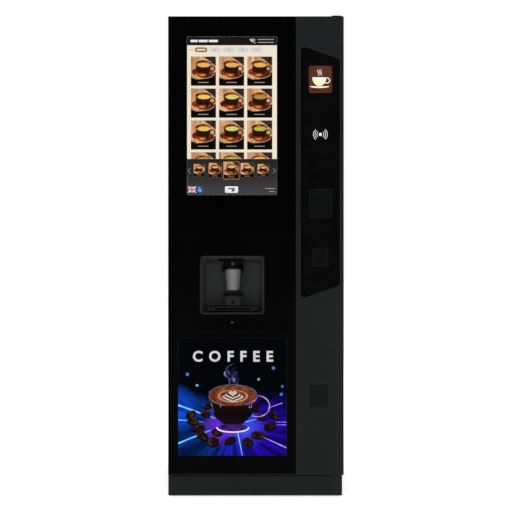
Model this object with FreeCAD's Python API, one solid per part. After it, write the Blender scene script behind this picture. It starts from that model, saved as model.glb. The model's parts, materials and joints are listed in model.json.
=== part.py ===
import FreeCAD, Part
import math
import os
from FreeCAD import Vector

# Hot coffee vending machine. Millimetres, +Z up, front towards -Y.
# The origin is at the middle of the footprint on the floor.

# Overall size
WIDTH = 668.0
DEPTH = 740.0
HEIGHT = 1830.0
X0 = -WIDTH / 2
X1 = WIDTH / 2
Y0 = -DEPTH / 2
Y1 = DEPTH / 2

# Cabinet
SHEET = 3.0
CAB_X1 = X1 - 6.0
CAB_Y0 = -296.0
CAB_Z0 = 78.0
CAB_Z1 = HEIGHT - 4.0
IN_X0 = X0 + SHEET
IN_X1 = CAB_X1 - SHEET
PLINTH_Y0 = Y0 + 8.0
PLINTH_Z0 = 4.0
FOOT_X = (-300.0, 290.0)
FOOT_Y = (-318.0, 325.0)

# Door
DOOR_BACK = -305.0
DOOR_Z0 = 82.5
COLUMN_X = 151.6
GLASS = 6.0
GLASS_Y1 = Y0 + GLASS
SKIN_Y1 = GLASS_Y1 + SHEET
GLASS_Z0 = 86.3
SEAM_LOW = 622.4
SEAM_HIGH = 976.6
SEAM_GAP = 1.5
COVER_Y1 = DOOR_BACK + 2.0
HINGE_X = 308.0
HINGE_Y = -350.0
HINGE_R = 6.0
RUNNING = 0.05

# Screen, lit poster and cup opening in the glass front
SCREEN = (-262.0, 79.6, 1147.0, 1749.0)
POSTER = (-296.0, 116.0, 156.0, 603.0)
PICTURE_Y = Y0 + 1.5
BAY = (-212.0, 31.0, 694.0, 915.0)
BAY_CORNER = 13.0
BAY_WALL = 3.0
LINER_Y0 = -300.0
LINER_Y1 = -187.0

# Cup and the things around it
CUP_X = -90.0
CUP_Y = -250.0
CUP_Z0 = 782.0
CUP_Z1 = 863.0
CUP_R0 = 25.5
CUP_R1 = 32.6
CUP_RIM = 34.0

# Turret that stores the cups
TURRET_X = -108.0
TURRET_Y = -172.0
TUBE_RING = 80.0
TUBE_R = 38.0
TUBE_WALL = 2.5
TUBE_COUNT = 6
TUBE_Z0 = 1010.0
TUBE_Z1 = 1290.0

# Powder canisters and what they feed
CANISTER_X = (-245.0, -125.0, -5.0)
CANISTER_HALF = 53.0
CANISTER_Y0 = 0.0
CANISTER_Y1 = 250.0
CANISTER_Z1 = 1640.0
AUGER_Z = 1476.0
AUGER_R = 15.0
TROUGH_R = 18.0
WALL = 2.5
LID = 4.0
LID_HINGE_Y = 190.0
LID_GAP = 2.6
BOWL_Y = -20.0

# Bean hopper, grinder and brewer
HOPPER = (98.0, 304.0, 20.0, 245.0)
GRINDER_X = 205.0
GRINDER_Y = 130.0
BREW_X = 205.0
BREW_Y = -30.0
BREW_BORE = 28.3

# Shelves and the plate behind the equipment
BACKPLATE_Y = 262.0
PLATE = 4.0
SHELF_LOW = 600.0
SHELF_MID = 930.0
SHELF_TOP = 1451.5
HOSE_R = 5.0
HOSE_Z = 920.0

# Fan, lock and coin return
FAN = (-180.0, 1690.0)
LOCK_Y = -335.0
LOCK_Z = 970.0
LOCK_R = 14.0
STRIKES = (470.0, 870.0, 1560.0)
STRIKE_Y = -284.0
SENSOR = (-91.0, 663.5)
SENSOR_HOLE = 4.75
SENSOR_R = 4.4
COIN_CUP = (205.6, 272.5, 340.0, 425.0)
FLAP_AXIS = (-366.0, 419.0)
FLAP_PIN = 2.0


def box(x0, x1, y0, y1, z0, z1):
    return Part.makeBox(x1 - x0, y1 - y0, z1 - z0, Vector(x0, y0, z0))


def cyl(r, start, end):
    a = Vector(*start)
    b = Vector(*end)
    return Part.makeCylinder(r, (b - a).Length, a, b - a)


def rod_x(r, x0, x1, y, z):
    return cyl(r, (x0, y, z), (x1, y, z))


def rod_y(r, x, y0, y1, z):
    return cyl(r, (x, y0, z), (x, y1, z))


def rod_z(r, x, y, z0, z1):
    return cyl(r, (x, y, z0), (x, y, z1))


def fuse(shapes):
    return shapes[0].multiFuse(shapes[1:]).removeSplitter()


def rounded(shape, r, along):
    # Fillets the edges that run along one axis over the whole length of the shape.
    size = {"X": shape.BoundBox.XLength, "Y": shape.BoundBox.YLength, "Z": shape.BoundBox.ZLength}[along]
    spans = {"X": "XLength", "Y": "YLength", "Z": "ZLength"}[along]
    edges = []
    for e in shape.Edges:
        if abs(getattr(e.BoundBox, spans) - size) < 0.01 and abs(e.Length - size) < 0.01:
            edges.append(e)
    return shape.makeFillet(r, edges)


def slab(x0, x1, z0, z1, r, y0, y1):
    # A plate in the XZ plane with rounded corners.
    return rounded(box(x0, x1, y0, y1, z0, z1), r, "Y")


def path(points, r, closed=False):
    # Straight runs joined by tangent arcs of radius r.
    pts = [Vector(*p) for p in points]
    n = len(pts)
    corners = range(n) if closed else range(1, n - 1)
    ends = {}
    arcs = {}
    for i in corners:
        p = pts[i]
        u = (pts[i - 1] - p).normalize()
        v = (pts[(i + 1) % n] - p).normalize()
        half = u.getAngle(v) / 2
        t = r / math.tan(half)
        w = (u + v).normalize()
        centre = p + w * (r / math.sin(half))
        ends[i] = (p + u * t, p + v * t)
        arcs[i] = Part.Arc(p + u * t, centre - w * r, p + v * t).toShape()
    edges = []
    for i in range(n if closed else n - 1):
        j = (i + 1) % n
        if i in arcs and not closed or closed:
            if i in arcs:
                edges.append(arcs[i])
        a = ends[i][1] if i in ends else pts[i]
        b = ends[j][0] if j in ends else pts[j]
        edges.append(Part.makeLine(a, b))
    return Part.Wire(edges)


def hose(points, r, bend):
    spine = path(points, bend)
    start = Vector(*points[0])
    way = Vector(*points[1]) - start
    ring = Part.Wire(Part.makeCircle(r, start, way))
    return spine.makePipeShell([ring], True, False)


def outline(x0, x1, z0, z1, r, y):
    return path([(x0, y, z0), (x1, y, z0), (x1, y, z1), (x0, y, z1)], r, True)


def rect_z(x0, x1, y0, y1, z):
    corners = [(x0, y0), (x1, y0), (x1, y1), (x0, y1), (x0, y0)]
    return Part.makePolygon([Vector(x, y, z) for x, y in corners])


def loft(a, b):
    return Part.makeLoft([a, b], True)


def tray(x0, x1, y0, y1, z0, z1, wall):
    # A box open at the top.
    return box(x0, x1, y0, y1, z0, z1).cut(box(x0 + wall, x1 - wall, y0 + wall, y1 - wall, z0 + wall, z1 + 1))


def save(shape, node):
    shape.exportStep("parts/" + node + ".step")


# ---------------------------------------------------------------- cabinet

# Kick plate: four strips of sheet around the base.
plinth = box(X0, CAB_X1, PLINTH_Y0, Y1, PLINTH_Z0, CAB_Z0)
plinth = plinth.cut(box(IN_X0, IN_X1, PLINTH_Y0 + SHEET, Y1 - SHEET, 0, CAB_Z0 + 1))
save(plinth, "plinth")

# Welded base: a plate with a turned-down skirt and a block over each foot.
BASE_SKIRT_Z = 40.0
base_y0 = PLINTH_Y0 + SHEET
base_y1 = Y1 - SHEET
base = box(IN_X0, IN_X1, base_y0, base_y1, BASE_SKIRT_Z, CAB_Z0)
base = base.cut(box(IN_X0 + SHEET, IN_X1 - SHEET, base_y0 + SHEET, base_y1 - SHEET, 0, CAB_Z0 - PLATE))
FOOT_BLOCK = 24.0
blocks = []
for x in FOOT_X:
    for y in FOOT_Y:
        sides = (x - FOOT_BLOCK, x + FOOT_BLOCK, y - FOOT_BLOCK, y + FOOT_BLOCK)
        blocks.append(box(*sides, BASE_SKIRT_Z, CAB_Z0 - PLATE))
base = fuse([base] + blocks)
save(base, "base_frame")

# Levelling feet: a pad, a lock nut and a stud each.
FOOT_R = 23.0
feet = []
for x in FOOT_X:
    for y in FOOT_Y:
        pad = Part.makeCone(FOOT_R, FOOT_R - 4, 7, Vector(x, y, 3))
        foot = [rod_z(FOOT_R, x, y, 0, 3), pad, rod_z(8, x, y, 10, BASE_SKIRT_Z), rod_z(14, x, y, 30, 37)]
        feet.append(fuse(foot))
save(Part.makeCompound(feet), "levelling_feet")

# Wrap of sheet steel: both sides, the roof and the turned-in front lips with three strike pins for the lock.
LIP = 17.0
LIP_RIGHT = 33.0
lip_y1 = CAB_Y0 + SHEET
shell = [box(X0, X0 + SHEET, CAB_Y0, Y1, CAB_Z0, CAB_Z1)]
shell.append(box(CAB_X1 - SHEET, CAB_X1, CAB_Y0, Y1, CAB_Z0, CAB_Z1))
shell.append(box(X0, CAB_X1, CAB_Y0, Y1, CAB_Z1 - SHEET, CAB_Z1))
shell.append(box(IN_X0, IN_X0 + LIP, CAB_Y0, lip_y1, CAB_Z0, CAB_Z1 - SHEET))
shell.append(box(IN_X1 - LIP_RIGHT, IN_X1, CAB_Y0, lip_y1, CAB_Z0, CAB_Z1 - SHEET))
shell.append(box(IN_X0, IN_X1, CAB_Y0, lip_y1, CAB_Z1 - 36, CAB_Z1 - SHEET))
shell.append(box(IN_X0, IN_X1, CAB_Y0, lip_y1, CAB_Z0, CAB_Z0 + 27))
pins = [rod_x(4, IN_X0, IN_X0 + 33, STRIKE_Y, z) for z in STRIKES]
save(Part.makeCompound([fuse(shell)] + pins), "cabinet_shell")

# Rear panel with louvre slots, a fan grille, two wall-fixing holes and a cut-out for the connections.
CONNECT = (150.0, 290.0, 120.0, 200.0)
rear = box(IN_X0, IN_X1, Y1 - SHEET, Y1, CAB_Z0, CAB_Z1 - SHEET)
holes = []
for z in range(300, 461, 20):
    for x in (-240.0, -60.0, 120.0):
        holes.append(slab(x, x + 120, z, z + 7, 3, Y1 - 6, Y1 + 2))
for z in range(1150, 1311, 20):
    for x in (-240.0, -60.0, 120.0):
        holes.append(slab(x, x + 120, z, z + 7, 3, Y1 - 6, Y1 + 2))
for r in (14.0, 26.0, 38.0, 50.0):
    inside = rod_y(r - 4, FAN[0], Y1 - 7, Y1 + 3, FAN[1])
    holes.append(rod_y(r + 4, FAN[0], Y1 - 6, Y1 + 2, FAN[1]).cut(inside))
bars = [box(FAN[0] - 60, FAN[0] + 60, Y1 - 6, Y1 + 2, FAN[1] - 2.5, FAN[1] + 2.5)]
bars.append(box(FAN[0] - 2.5, FAN[0] + 2.5, Y1 - 6, Y1 + 2, FAN[1] - 60, FAN[1] + 60))
FIXING_X = 200.0
FIXING_Z = 1790.0
FIXING_R = 4.5
for x in (-FIXING_X, FIXING_X):
    holes.append(rod_y(FIXING_R, x, Y1 - 6, Y1 + 2, FIXING_Z))
holes.append(box(CONNECT[0], CONNECT[1], Y1 - 6, Y1 + 2, CONNECT[2], CONNECT[3]))
cutters = [h.cut(fuse(bars)) for h in holes]
save(rear.cut(cutters), "rear_panel")

# Hinge brackets: a plate and a pin above the door and another pair below it.
PIN = 20.0
upper_pin = rod_z(HINGE_R, HINGE_X, HINGE_Y, CAB_Z1 - PIN, HEIGHT - 1)
lower_pin = rod_z(HINGE_R, HINGE_X, HINGE_Y, CAB_Z0 + 1, CAB_Z0 + PIN)
upper = fuse([box(288, 326, Y0 + 4, -240, CAB_Z1, HEIGHT), upper_pin])
lower = fuse([box(290, 322, Y0 + 4, CAB_Y0 - 1, CAB_Z0, CAB_Z0 + PLATE), lower_pin])
save(Part.makeCompound([upper, lower]), "hinge_brackets")

# ---------------------------------------------------------------- equipment inside the cabinet

CHUTE = (225.0, 285.0, 80.0, 140.0)
HOSE_HOLE = 9.0
COFFEE_X = 100.0

# Back plate and four shelves in one welded frame.
frame = [box(IN_X0, IN_X1, BACKPLATE_Y, BACKPLATE_Y + PLATE, SHELF_LOW, 1790)]
frame.append(box(IN_X0, IN_X1, -140, BACKPLATE_Y, SHELF_LOW, SHELF_LOW + PLATE))
frame.append(box(IN_X0, IN_X1, -290, BACKPLATE_Y, SHELF_MID, SHELF_MID + PLATE))
frame.append(box(IN_X0, 62, 40, BACKPLATE_Y, SHELF_TOP, SHELF_TOP + PLATE))
frame.append(box(95, IN_X1, 40, BACKPLATE_Y, 1290, 1290 + PLATE))
frame = fuse(frame)
cuts = [rod_z(36, CUP_X, CUP_Y, SHELF_MID - 1, SHELF_MID + 5)]
for x in CANISTER_X:
    cuts.append(rod_z(HOSE_HOLE, x, BOWL_Y, SHELF_MID - 1, SHELF_MID + 5))
    cuts.append(rod_y(5, x, BACKPLATE_Y - 1, BACKPLATE_Y + 5, AUGER_Z))
cuts.append(rod_z(HOSE_HOLE, COFFEE_X, BREW_Y, SHELF_MID - 1, SHELF_MID + 5))
cuts.append(rod_z(HOSE_HOLE, 50, 60, SHELF_MID - 1, SHELF_MID + 5))
cuts.append(rod_z(HOSE_HOLE, 0, 200, SHELF_LOW - 1, SHELF_LOW + 5))
for z in (SHELF_LOW, SHELF_MID):
    cuts.append(box(CHUTE[0], CHUTE[1], CHUTE[2], CHUTE[3], z - 1, z + 5))
cuts.append(box(190, 220, 60, 90, 1289, 1295))
save(frame.cut(cuts), "equipment_frame")

# Cup bay: a tapered moulded pocket behind the opening in the door, cut open above for the outlet head.
outer_front = outline(BAY[0], BAY[1], BAY[2], BAY[3], BAY_CORNER, LINER_Y0)
outer = loft(outer_front, outline(-203, 21, 699, 894, BAY_CORNER, LINER_Y1))
mouth = (BAY[0] + BAY_WALL, BAY[1] - BAY_WALL, BAY[2] + BAY_WALL, BAY[3] - BAY_WALL)
inner_front = outline(*mouth, BAY_CORNER - BAY_WALL, LINER_Y0 - 0.01)
inner = loft(inner_front, outline(-200, 18, 702, 891, 10, LINER_Y1 - BAY_WALL))
flange = slab(BAY[0] - 9, BAY[1] + 9, BAY[2] - 9, BAY[3] + 9, 16, LINER_Y0, LINER_Y0 + BAY_WALL)
liner = fuse([outer, flange]).cut([inner, box(-150, -47, -292, -208, 880, 930)])
save(liner, "cup_bay_liner")

# Outlet head: a block hung from the shelf, an outlet collar and two rails that hold the cup by its rim.
RAIL_IN = 34.5
RAIL_OUT = 42.0
head = [box(-130, -50, -280, -220, 902, SHELF_MID)]
head.append(rounded(box(-142, -55, -285, -215, 894, 902), 3, "Z"))
head.append(rounded(box(-126, -54, -282, -218, 879, 894), 6, "Z"))
head.append(rod_z(41.5, CUP_X, CUP_Y, 865, 879))
head.append(rod_z(8, CUP_X, -281, 881, 892))
for side in (-1, 1):
    a = CUP_X + side * RAIL_IN
    b = CUP_X + side * RAIL_OUT
    c = CUP_X + side * 33.0
    head.append(box(min(a, b), max(a, b), -280, -216, 850, 870))
    head.append(box(min(c, b), max(c, b), -280, -216, 853, 859.9))
save(fuse(head), "spout_head")

# Step below the cup: a plate on an arm from the back wall, with a front apron that has a small hole.
step = [rounded(box(-128, -51, -287, -215, 758, 767), 5, "Z")]
step.append(box(-105, -75, -216, LINER_Y1 - BAY_WALL, 742, 762))
step.append(box(-118, -61, -284, -279, 722, 759))
step.append(Part.makeCone(9, 6, 4, Vector(-98, -262, 767)))
save(fuse(step).cut(rod_y(4, CUP_X, -286, -277, 735)), "cup_platform")

# Cup dispenser: a drop ring under the turret and the bearing post the turret turns on.
DROP_R = 35.8
drop = rounded(box(-138, -42, -294, -206, SHELF_MID + PLATE, 1003), 12, "Z")
drop = drop.cut(rod_z(DROP_R, CUP_X, CUP_Y, 900, 1010))
post = rod_z(30, TURRET_X, TURRET_Y, SHELF_MID + PLATE, 1000)
post = fuse([post, box(-230, -120, -165, -95, SHELF_MID + PLATE, 990)])
post = post.cut(rod_z(8 + RUNNING, TURRET_X, TURRET_Y, 950, 1001))
save(fuse([drop, post.cut(drop)]), "cup_dispenser")

# Boiler: a hollow steel vessel standing on the lower shelf, with valves on top and a terminal box.
BOILER = (-110.0, -20.0)
BOILER_R = 75.0
BOILER_Z1 = 840.0
boiler = [rod_z(BOILER_R, *BOILER, SHELF_LOW + 16, BOILER_Z1)]
boiler.append(rod_z(60, *BOILER, SHELF_LOW + PLATE, SHELF_LOW + 16))
boiler.append(Part.makeCone(BOILER_R, 30, 18, Vector(*BOILER, BOILER_Z1)))
for dx, dy in ((-20, 0), (15, 15), (15, -15)):
    boiler.append(rod_z(7, BOILER[0] + dx, BOILER[1] + dy, BOILER_Z1 + 10, BOILER_Z1 + 36))
boiler.append(box(-70, 10, -50, 10, 640, 700))
vessel_space = rod_z(BOILER_R - SHEET, *BOILER, SHELF_LOW + 16 + SHEET, BOILER_Z1 - SHEET)
save(fuse(boiler).cut(vessel_space), "boiler")

# Water pump: a motor can on a foot with a pump head.
pump = [box(-60, 40, 120, 200, CAB_Z0, CAB_Z0 + 8)]
pump += [rod_y(32, -10, 95, 165, 124), rod_y(24, -10, 165, 215, 124)]
pump += [box(-40, 20, 110, 180, CAB_Z0 + 8, 110), rod_z(7, 0, 200, 124, 160)]
save(fuse(pump), "water_pump")

# Control and power box: a sheet-metal case with a door seam and cooling slots.
CASE = 2.0
control = box(90, 310, 100, 330, CAB_Z0, 330)
control = control.cut(box(90 + CASE, 310 - CASE, 100 + CASE, 330 - CASE, CAB_Z0 + CASE, 330 - CASE))
slots = [box(110 + 24 * i, 122 + 24 * i, 99, 100 + CASE, 250, 300) for i in range(7)]
control = control.cut(slots + [box(96, 304, 99, 101, 226, 228)])
save(control, "control_box")

# Fresh-water tank with a screw cap.
tank = box(-315, -110, 70, 350, CAB_Z0, 430)
tank = rounded(tank, 14, "Z").cut(rounded(box(-312, -113, 73, 347, CAB_Z0 + 3, 427), 11, "Z"))
save(fuse([tank, rod_z(32, -212, 160, 430, 448)]), "water_tank")

# Waste-water bucket and grounds bin, both open at the top, with a folded rim.
bucket = tray(-312, -22, -280, 40, CAB_Z0, 430, 3)
rim = box(-318, -16, -286, 46, 424, 430).cut(box(-312, -22, -280, 40, 400, 440))
save(fuse([bucket, rim]), "waste_bucket")
bin_ = tray(4, 304, -280, 92, CAB_Z0, 424, 3)
rim = box(-2, 310, -286, 98, 418, 424).cut(box(4, 304, -280, 92, 400, 440))
save(fuse([bin_, rim]), "grounds_bin")

# Square duct that drops the spent coffee from the brewer into the bin.
duct = box(CHUTE[0], CHUTE[1], CHUTE[2], CHUTE[3], 430, 964)
duct = duct.cut(box(CHUTE[0] + 2, CHUTE[1] - 2, CHUTE[2] + 2, CHUTE[3] - 2, 429, 965))
save(duct, "grounds_chute")

# Grinder: a burr housing over a motor can, with a dosing spout towards the brewer.
grind = [rod_z(58, GRINDER_X, GRINDER_Y, 1294, 1400), rod_z(46, GRINDER_X, GRINDER_Y, 1400, 1440)]
grind.append(box(190, 220, 60, 90, 1252, 1330))
grind.append(rod_z(40, GRINDER_X, GRINDER_Y, 1440, 1452))
save(fuse(grind), "grinder")

# Brewing unit: a base, two side plates and a cross plate around a brewing cylinder and its drive motor.
brew = [box(120, 290, -110, 78, SHELF_MID + PLATE, 940)]
for x in (120.0, 286.0):
    brew.append(box(x, x + PLATE, -100, 76, 940, 1240))
brew.append(box(120, 290, -100, 10, 1236, 1242))
brew.append(box(180, 230, -55, -5, 940, 1002))
brew.append(rod_z(36, BREW_X, BREW_Y, 1000, 1095))
brew.append(rod_z(26, 160, 45, 940, 1060))
brew = fuse(brew)
cuts = [rod_z(BREW_BORE, BREW_X, BREW_Y, 1008, 1100), rod_z(8 + RUNNING, BREW_X, BREW_Y, 1230, 1250)]
brew = brew.cut(cuts + [rod_x(HOSE_HOLE, 118, 126, BREW_Y, 970)])
save(brew, "brewer_frame")

# Powder canisters: a trough-bottomed box each, with an outlet elbow, a fixed rear cover and two hinge lugs.
canisters = []
for x in CANISTER_X:
    def trough(grow, y0, y1, top):
        w = CANISTER_HALF - WALL + grow
        r = TROUGH_R + grow
        low = 1520 - grow
        side = [Vector(x - r, y0, AUGER_Z), Vector(x - w, y0, low), Vector(x - w, y0, top)]
        side += [Vector(x + w, y0, top), Vector(x + w, y0, low), Vector(x + r, y0, AUGER_Z)]
        edges = [Part.makeLine(side[i], side[i + 1]) for i in range(5)]
        edges.append(Part.Arc(side[5], Vector(x, y0, AUGER_Z - r), side[0]).toShape())
        return Part.Face(Part.Wire(edges)).extrude(Vector(0, y1 - y0, 0))
    body = trough(WALL, CANISTER_Y0, CANISTER_Y1, CANISTER_Z1)
    elbow = rod_y(TROUGH_R + WALL, x, CANISTER_Y0 - 38, CANISTER_Y0 + 1, AUGER_Z)
    outlet = rod_z(14, x, BOWL_Y, 1432, AUGER_Z)
    x0 = x - CANISTER_HALF
    x1 = x + CANISTER_HALF
    cover = box(x0, x1, LID_HINGE_Y + LID_GAP, CANISTER_Y1, CANISTER_Z1, CANISTER_Z1 + LID)
    body = fuse([body, elbow, outlet, cover])
    for side in (-1, 1):
        a = x + side * CANISTER_HALF
        b = x + side * (CANISTER_HALF + 3)
        lug = (min(a, b), max(a, b), LID_HINGE_Y - 5, LID_HINGE_Y + 5)
        body = body.fuse(box(*lug, CANISTER_Z1 - 12, CANISTER_Z1 + LID + 5))
    hollow = trough(0, CANISTER_Y0 + WALL, CANISTER_Y1 - WALL, CANISTER_Z1)
    throat = rod_y(TROUGH_R, x, CANISTER_Y0 - 38 + WALL, CANISTER_Y0 + 5, AUGER_Z)
    bearing = rod_y(4 + RUNNING, x, CANISTER_Y1 - 4, CANISTER_Y1 + 1, AUGER_Z)
    pin = rod_x(2 + RUNNING, x - 60, x + 60, LID_HINGE_Y, CANISTER_Z1 + LID)
    body = body.cut([hollow, throat, bearing, pin, rod_z(11.5, x, BOWL_Y, 1430, AUGER_Z)])
    canisters.append(body.removeSplitter())
save(Part.makeCompound(canisters), "powder_canisters")

# Mixing bowls: a funnel under each canister outlet.
bowls = []
BOWL = [(0, 1312), (9, 1312), (9, 1334), (44, 1378), (44, 1424), (42, 1424)]
BOWL += [(42, 1379), (7, 1335), (7, 1314), (0, 1314), (0, 1312)]
for x in CANISTER_X:
    wire = Part.makePolygon([Vector(x + r, BOWL_Y, z) for r, z in BOWL])
    bowls.append(Part.Face(wire).revolve(Vector(x, BOWL_Y, 0), Vector(0, 0, 1), 360))
save(Part.makeCompound([Part.Solid(b) if b.ShapeType != "Solid" else b for b in bowls]), "mixing_bowls")

# Mixer drive: a plate with a whipper motor behind each bowl, and a geared motor behind each canister.
drive = [box(-305, 62, 30, 34, 1300, SHELF_TOP)]
for x in CANISTER_X:
    drive.append(rod_y(24, x, 34, 100, 1360))
    drive.append(rod_y(10, x, 25, 30, 1360))
geared = []
for x in CANISTER_X:
    gearbox = box(x - 30, x + 30, 266, 292, AUGER_Z - 40, AUGER_Z + 30)
    geared.append(fuse([gearbox, rod_y(19, x, 292, 335, AUGER_Z - 14)]))
save(Part.makeCompound([fuse(drive)] + geared), "mixer_drive")

# Hoses: one from each bowl and one from the brewer to the outlet head, and two water lines.
hoses = []
for x, dx in zip(CANISTER_X, (-18.0, -6.0, 6.0)):
    end = [(CUP_X + dx, -190, HOSE_Z), (CUP_X + dx, -220, HOSE_Z)]
    hoses.append(hose([(x, BOWL_Y, 1312), (x, BOWL_Y, HOSE_Z)] + end, HOSE_R, 14))
coffee = [(180, BREW_Y, 970), (COFFEE_X, BREW_Y, 970), (COFFEE_X, BREW_Y, HOSE_Z)]
coffee += [(CUP_X + 18, -190, HOSE_Z), (CUP_X + 18, -220, HOSE_Z)]
hoses.append(hose(coffee, HOSE_R, 14))
hoses.append(hose([(0, 200, 160), (0, 200, 670), (0, 10, 670)], HOSE_R, 30))
hot_water = [(-95, -5, 876), (-95, -5, 898), (50, 60, 898), (50, 60, 1400), (50, 34, 1400)]
hoses.append(hose(hot_water, HOSE_R, 9))
save(Part.makeCompound(hoses), "hoses")

# Connection box: a recessed pan with a mains inlet and a water stub.
pan = box(CONNECT[0], CONNECT[1], 330, Y1 - SHEET, CONNECT[2], CONNECT[3])
pan = pan.cut(box(CONNECT[0] + 3, CONNECT[1] - 3, 333, Y1, CONNECT[2] + 3, CONNECT[3] - 3))
inlet = rounded(box(226, 274, 333, 355, 146, 174), 4, "Y")
inlet = inlet.cut(rounded(box(230, 270, 341, 356, 150, 170), 3, "Y"))
blades = [box(x - 1, x + 1, 338, 352, 157, 165) for x in (240.0, 250.0, 260.0)]
STUB_R = 10.0
stub = [rod_y(STUB_R, 190, 332, 362, 160), rod_y(14, 190, 332, 338, 160)]
save(fuse([pan, inlet] + blades + stub), "connection_box")

# Bean hopper: a clear box over a funnel, with a fixed rear cover and hinge lugs.
hx0, hx1, hy0, hy1 = HOPPER
HOPPER_Z = 1560.0
NECK = 30.0
neck = (GRINDER_X - NECK, GRINDER_X + NECK, GRINDER_Y - NECK, GRINDER_Y + NECK)
funnel = loft(rect_z(*neck, 1452), rect_z(hx0, hx1, hy0, hy1, HOPPER_Z))
hopper = fuse([box(hx0, hx1, hy0, hy1, HOPPER_Z, CANISTER_Z1), funnel])
w = 3.0
bean_space = box(hx0 + w, hx1 - w, hy0 + w, hy1 - w, HOPPER_Z, CANISTER_Z1 + 1)
throat = rect_z(neck[0] + w, neck[1] - w, neck[2] + w, neck[3] - w, 1451.9)
funnel_space = loft(throat, rect_z(hx0 + w, hx1 - w, hy0 + w, hy1 - w, HOPPER_Z))
hopper = hopper.cut([bean_space, funnel_space])
hopper = hopper.fuse(box(hx0, hx1, LID_HINGE_Y + LID_GAP, hy1, CANISTER_Z1, CANISTER_Z1 + LID))
for x0, x1 in ((hx0 - 3, hx0), (hx1, hx1 + 3)):
    lug = box(x0, x1, LID_HINGE_Y - 5, LID_HINGE_Y + 5, CANISTER_Z1 - 12, CANISTER_Z1 + LID + 5)
    hopper = hopper.fuse(lug)
hopper = hopper.cut(rod_x(2 + RUNNING, hx0 - 5, hx1 + 5, LID_HINGE_Y, CANISTER_Z1 + LID)).removeSplitter()
save(hopper, "bean_hopper")

# Fan frame: a square ring on the rear panel with a four-armed motor mount.
FAN_HALF = 60.0
FAN_Y0 = 342.0
fx, fz = FAN
ring = slab(fx - FAN_HALF, fx + FAN_HALF, fz - FAN_HALF, fz + FAN_HALF, 6, FAN_Y0, Y1 - SHEET)
ring = ring.cut(rod_y(55, fx, FAN_Y0 - 1, Y1, fz))
arms = [box(fx - 58, fx + 58, FAN_Y0, FAN_Y0 + 3, fz - 3, fz + 3)]
arms.append(box(fx - 3, fx + 3, FAN_Y0, FAN_Y0 + 3, fz - 58, fz + 58))
arms.append(rod_y(18, fx, FAN_Y0, FAN_Y0 + 3, fz))
save(fuse([ring] + arms).cut(rod_y(3 + RUNNING, fx, FAN_Y0 - 1, FAN_Y0 + 4, fz)), "fan_frame")

# ---------------------------------------------------------------- door

# Door frame: a folded tray, stepped back for the glass at the left and full depth in the column at the right.
PANEL = [(170.0, 751.0), (318.0, 803.5), (318.0, 1663.5), (170.0, 1714.5)]
PANEL_R = 15.0


def panel_wire(grow, y):
    wire = path([(x, y, z) for x, z in PANEL], PANEL_R, True)
    return wire.makeOffset2D(grow) if grow else wire


def panel_plate(grow, y0, y1):
    return Part.Face(panel_wire(grow, y0)).extrude(Vector(0, y1 - y0, 0))


door = box(X0, X1, Y0, DOOR_BACK, DOOR_Z0, CAB_Z1)
tall = [e for e in door.Edges if e.BoundBox.ZLength > 1000]
door = door.makeFillet(5, [e for e in tall if e.BoundBox.XMin > X1 - 1 and e.BoundBox.YMin < Y0 + 1])
BACK_LIP = 15.0
cuts = [box(X0 - 1, COLUMN_X, Y0 - 1, GLASS_Y1, GLASS_Z0, CAB_Z1 + 1)]
cuts.append(box(X0 + 3, X1 - 3, SKIN_Y1, DOOR_BACK - 3, DOOR_Z0 + 3, CAB_Z1 - 3))
cuts.append(box(COLUMN_X + 3, X1 - 3, Y0 + 3, SKIN_Y1 + 1, DOOR_Z0 + 3, CAB_Z1 - 3))
lip = BACK_LIP + 3
cuts.append(box(X0 + lip, X1 - lip, DOOR_BACK - 4, DOOR_BACK + 1, DOOR_Z0 + BACK_LIP, CAB_Z1 - BACK_LIP))
door = door.cut(cuts)
hinge_blocks = [box(294, 322, Y0 + 6, -336, CAB_Z1 - 26, CAB_Z1 - 3)]
hinge_blocks.append(box(294, 322, Y0 + 6, -336, DOOR_Z0 + 3, DOOR_Z0 + 26))
door = fuse([door] + hinge_blocks)
LOCK_SHELL = 16.0
cuts = [box(SCREEN[0], SCREEN[1], GLASS_Y1 - 1, SKIN_Y1 + 1, SCREEN[2], SCREEN[3])]
cuts.append(box(POSTER[0], POSTER[1], GLASS_Y1 - 1, SKIN_Y1 + 1, POSTER[2], POSTER[3]))
cuts.append(slab(BAY[0], BAY[1], BAY[2], BAY[3], BAY_CORNER, GLASS_Y1 - 1, SKIN_Y1 + 1))
cuts.append(rod_y(SENSOR_HOLE, SENSOR[0], GLASS_Y1 - 1, SKIN_Y1 + 1, SENSOR[1]))
cuts.append(panel_plate(0, Y0 - 1, Y0 + 4))
cuts.append(box(COIN_CUP[0], COIN_CUP[1], Y0 - 1, Y0 + 4, COIN_CUP[2], COIN_CUP[3]))
cuts.append(rod_x(FLAP_PIN + 0.5, COIN_CUP[0] - 4, COIN_CUP[1] + 4, *FLAP_AXIS))
cuts.append(rod_x(LOCK_SHELL, X0 - 1, X0 + 4, LOCK_Y, LOCK_Z))
cuts.append(rod_z(HINGE_R + RUNNING, HINGE_X, HINGE_Y, DOOR_Z0 - 1, DOOR_Z0 + 30))
cuts.append(rod_z(HINGE_R + RUNNING, HINGE_X, HINGE_Y, CAB_Z1 - 30, CAB_Z1 + 1))
door = door.cut(cuts)
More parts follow.
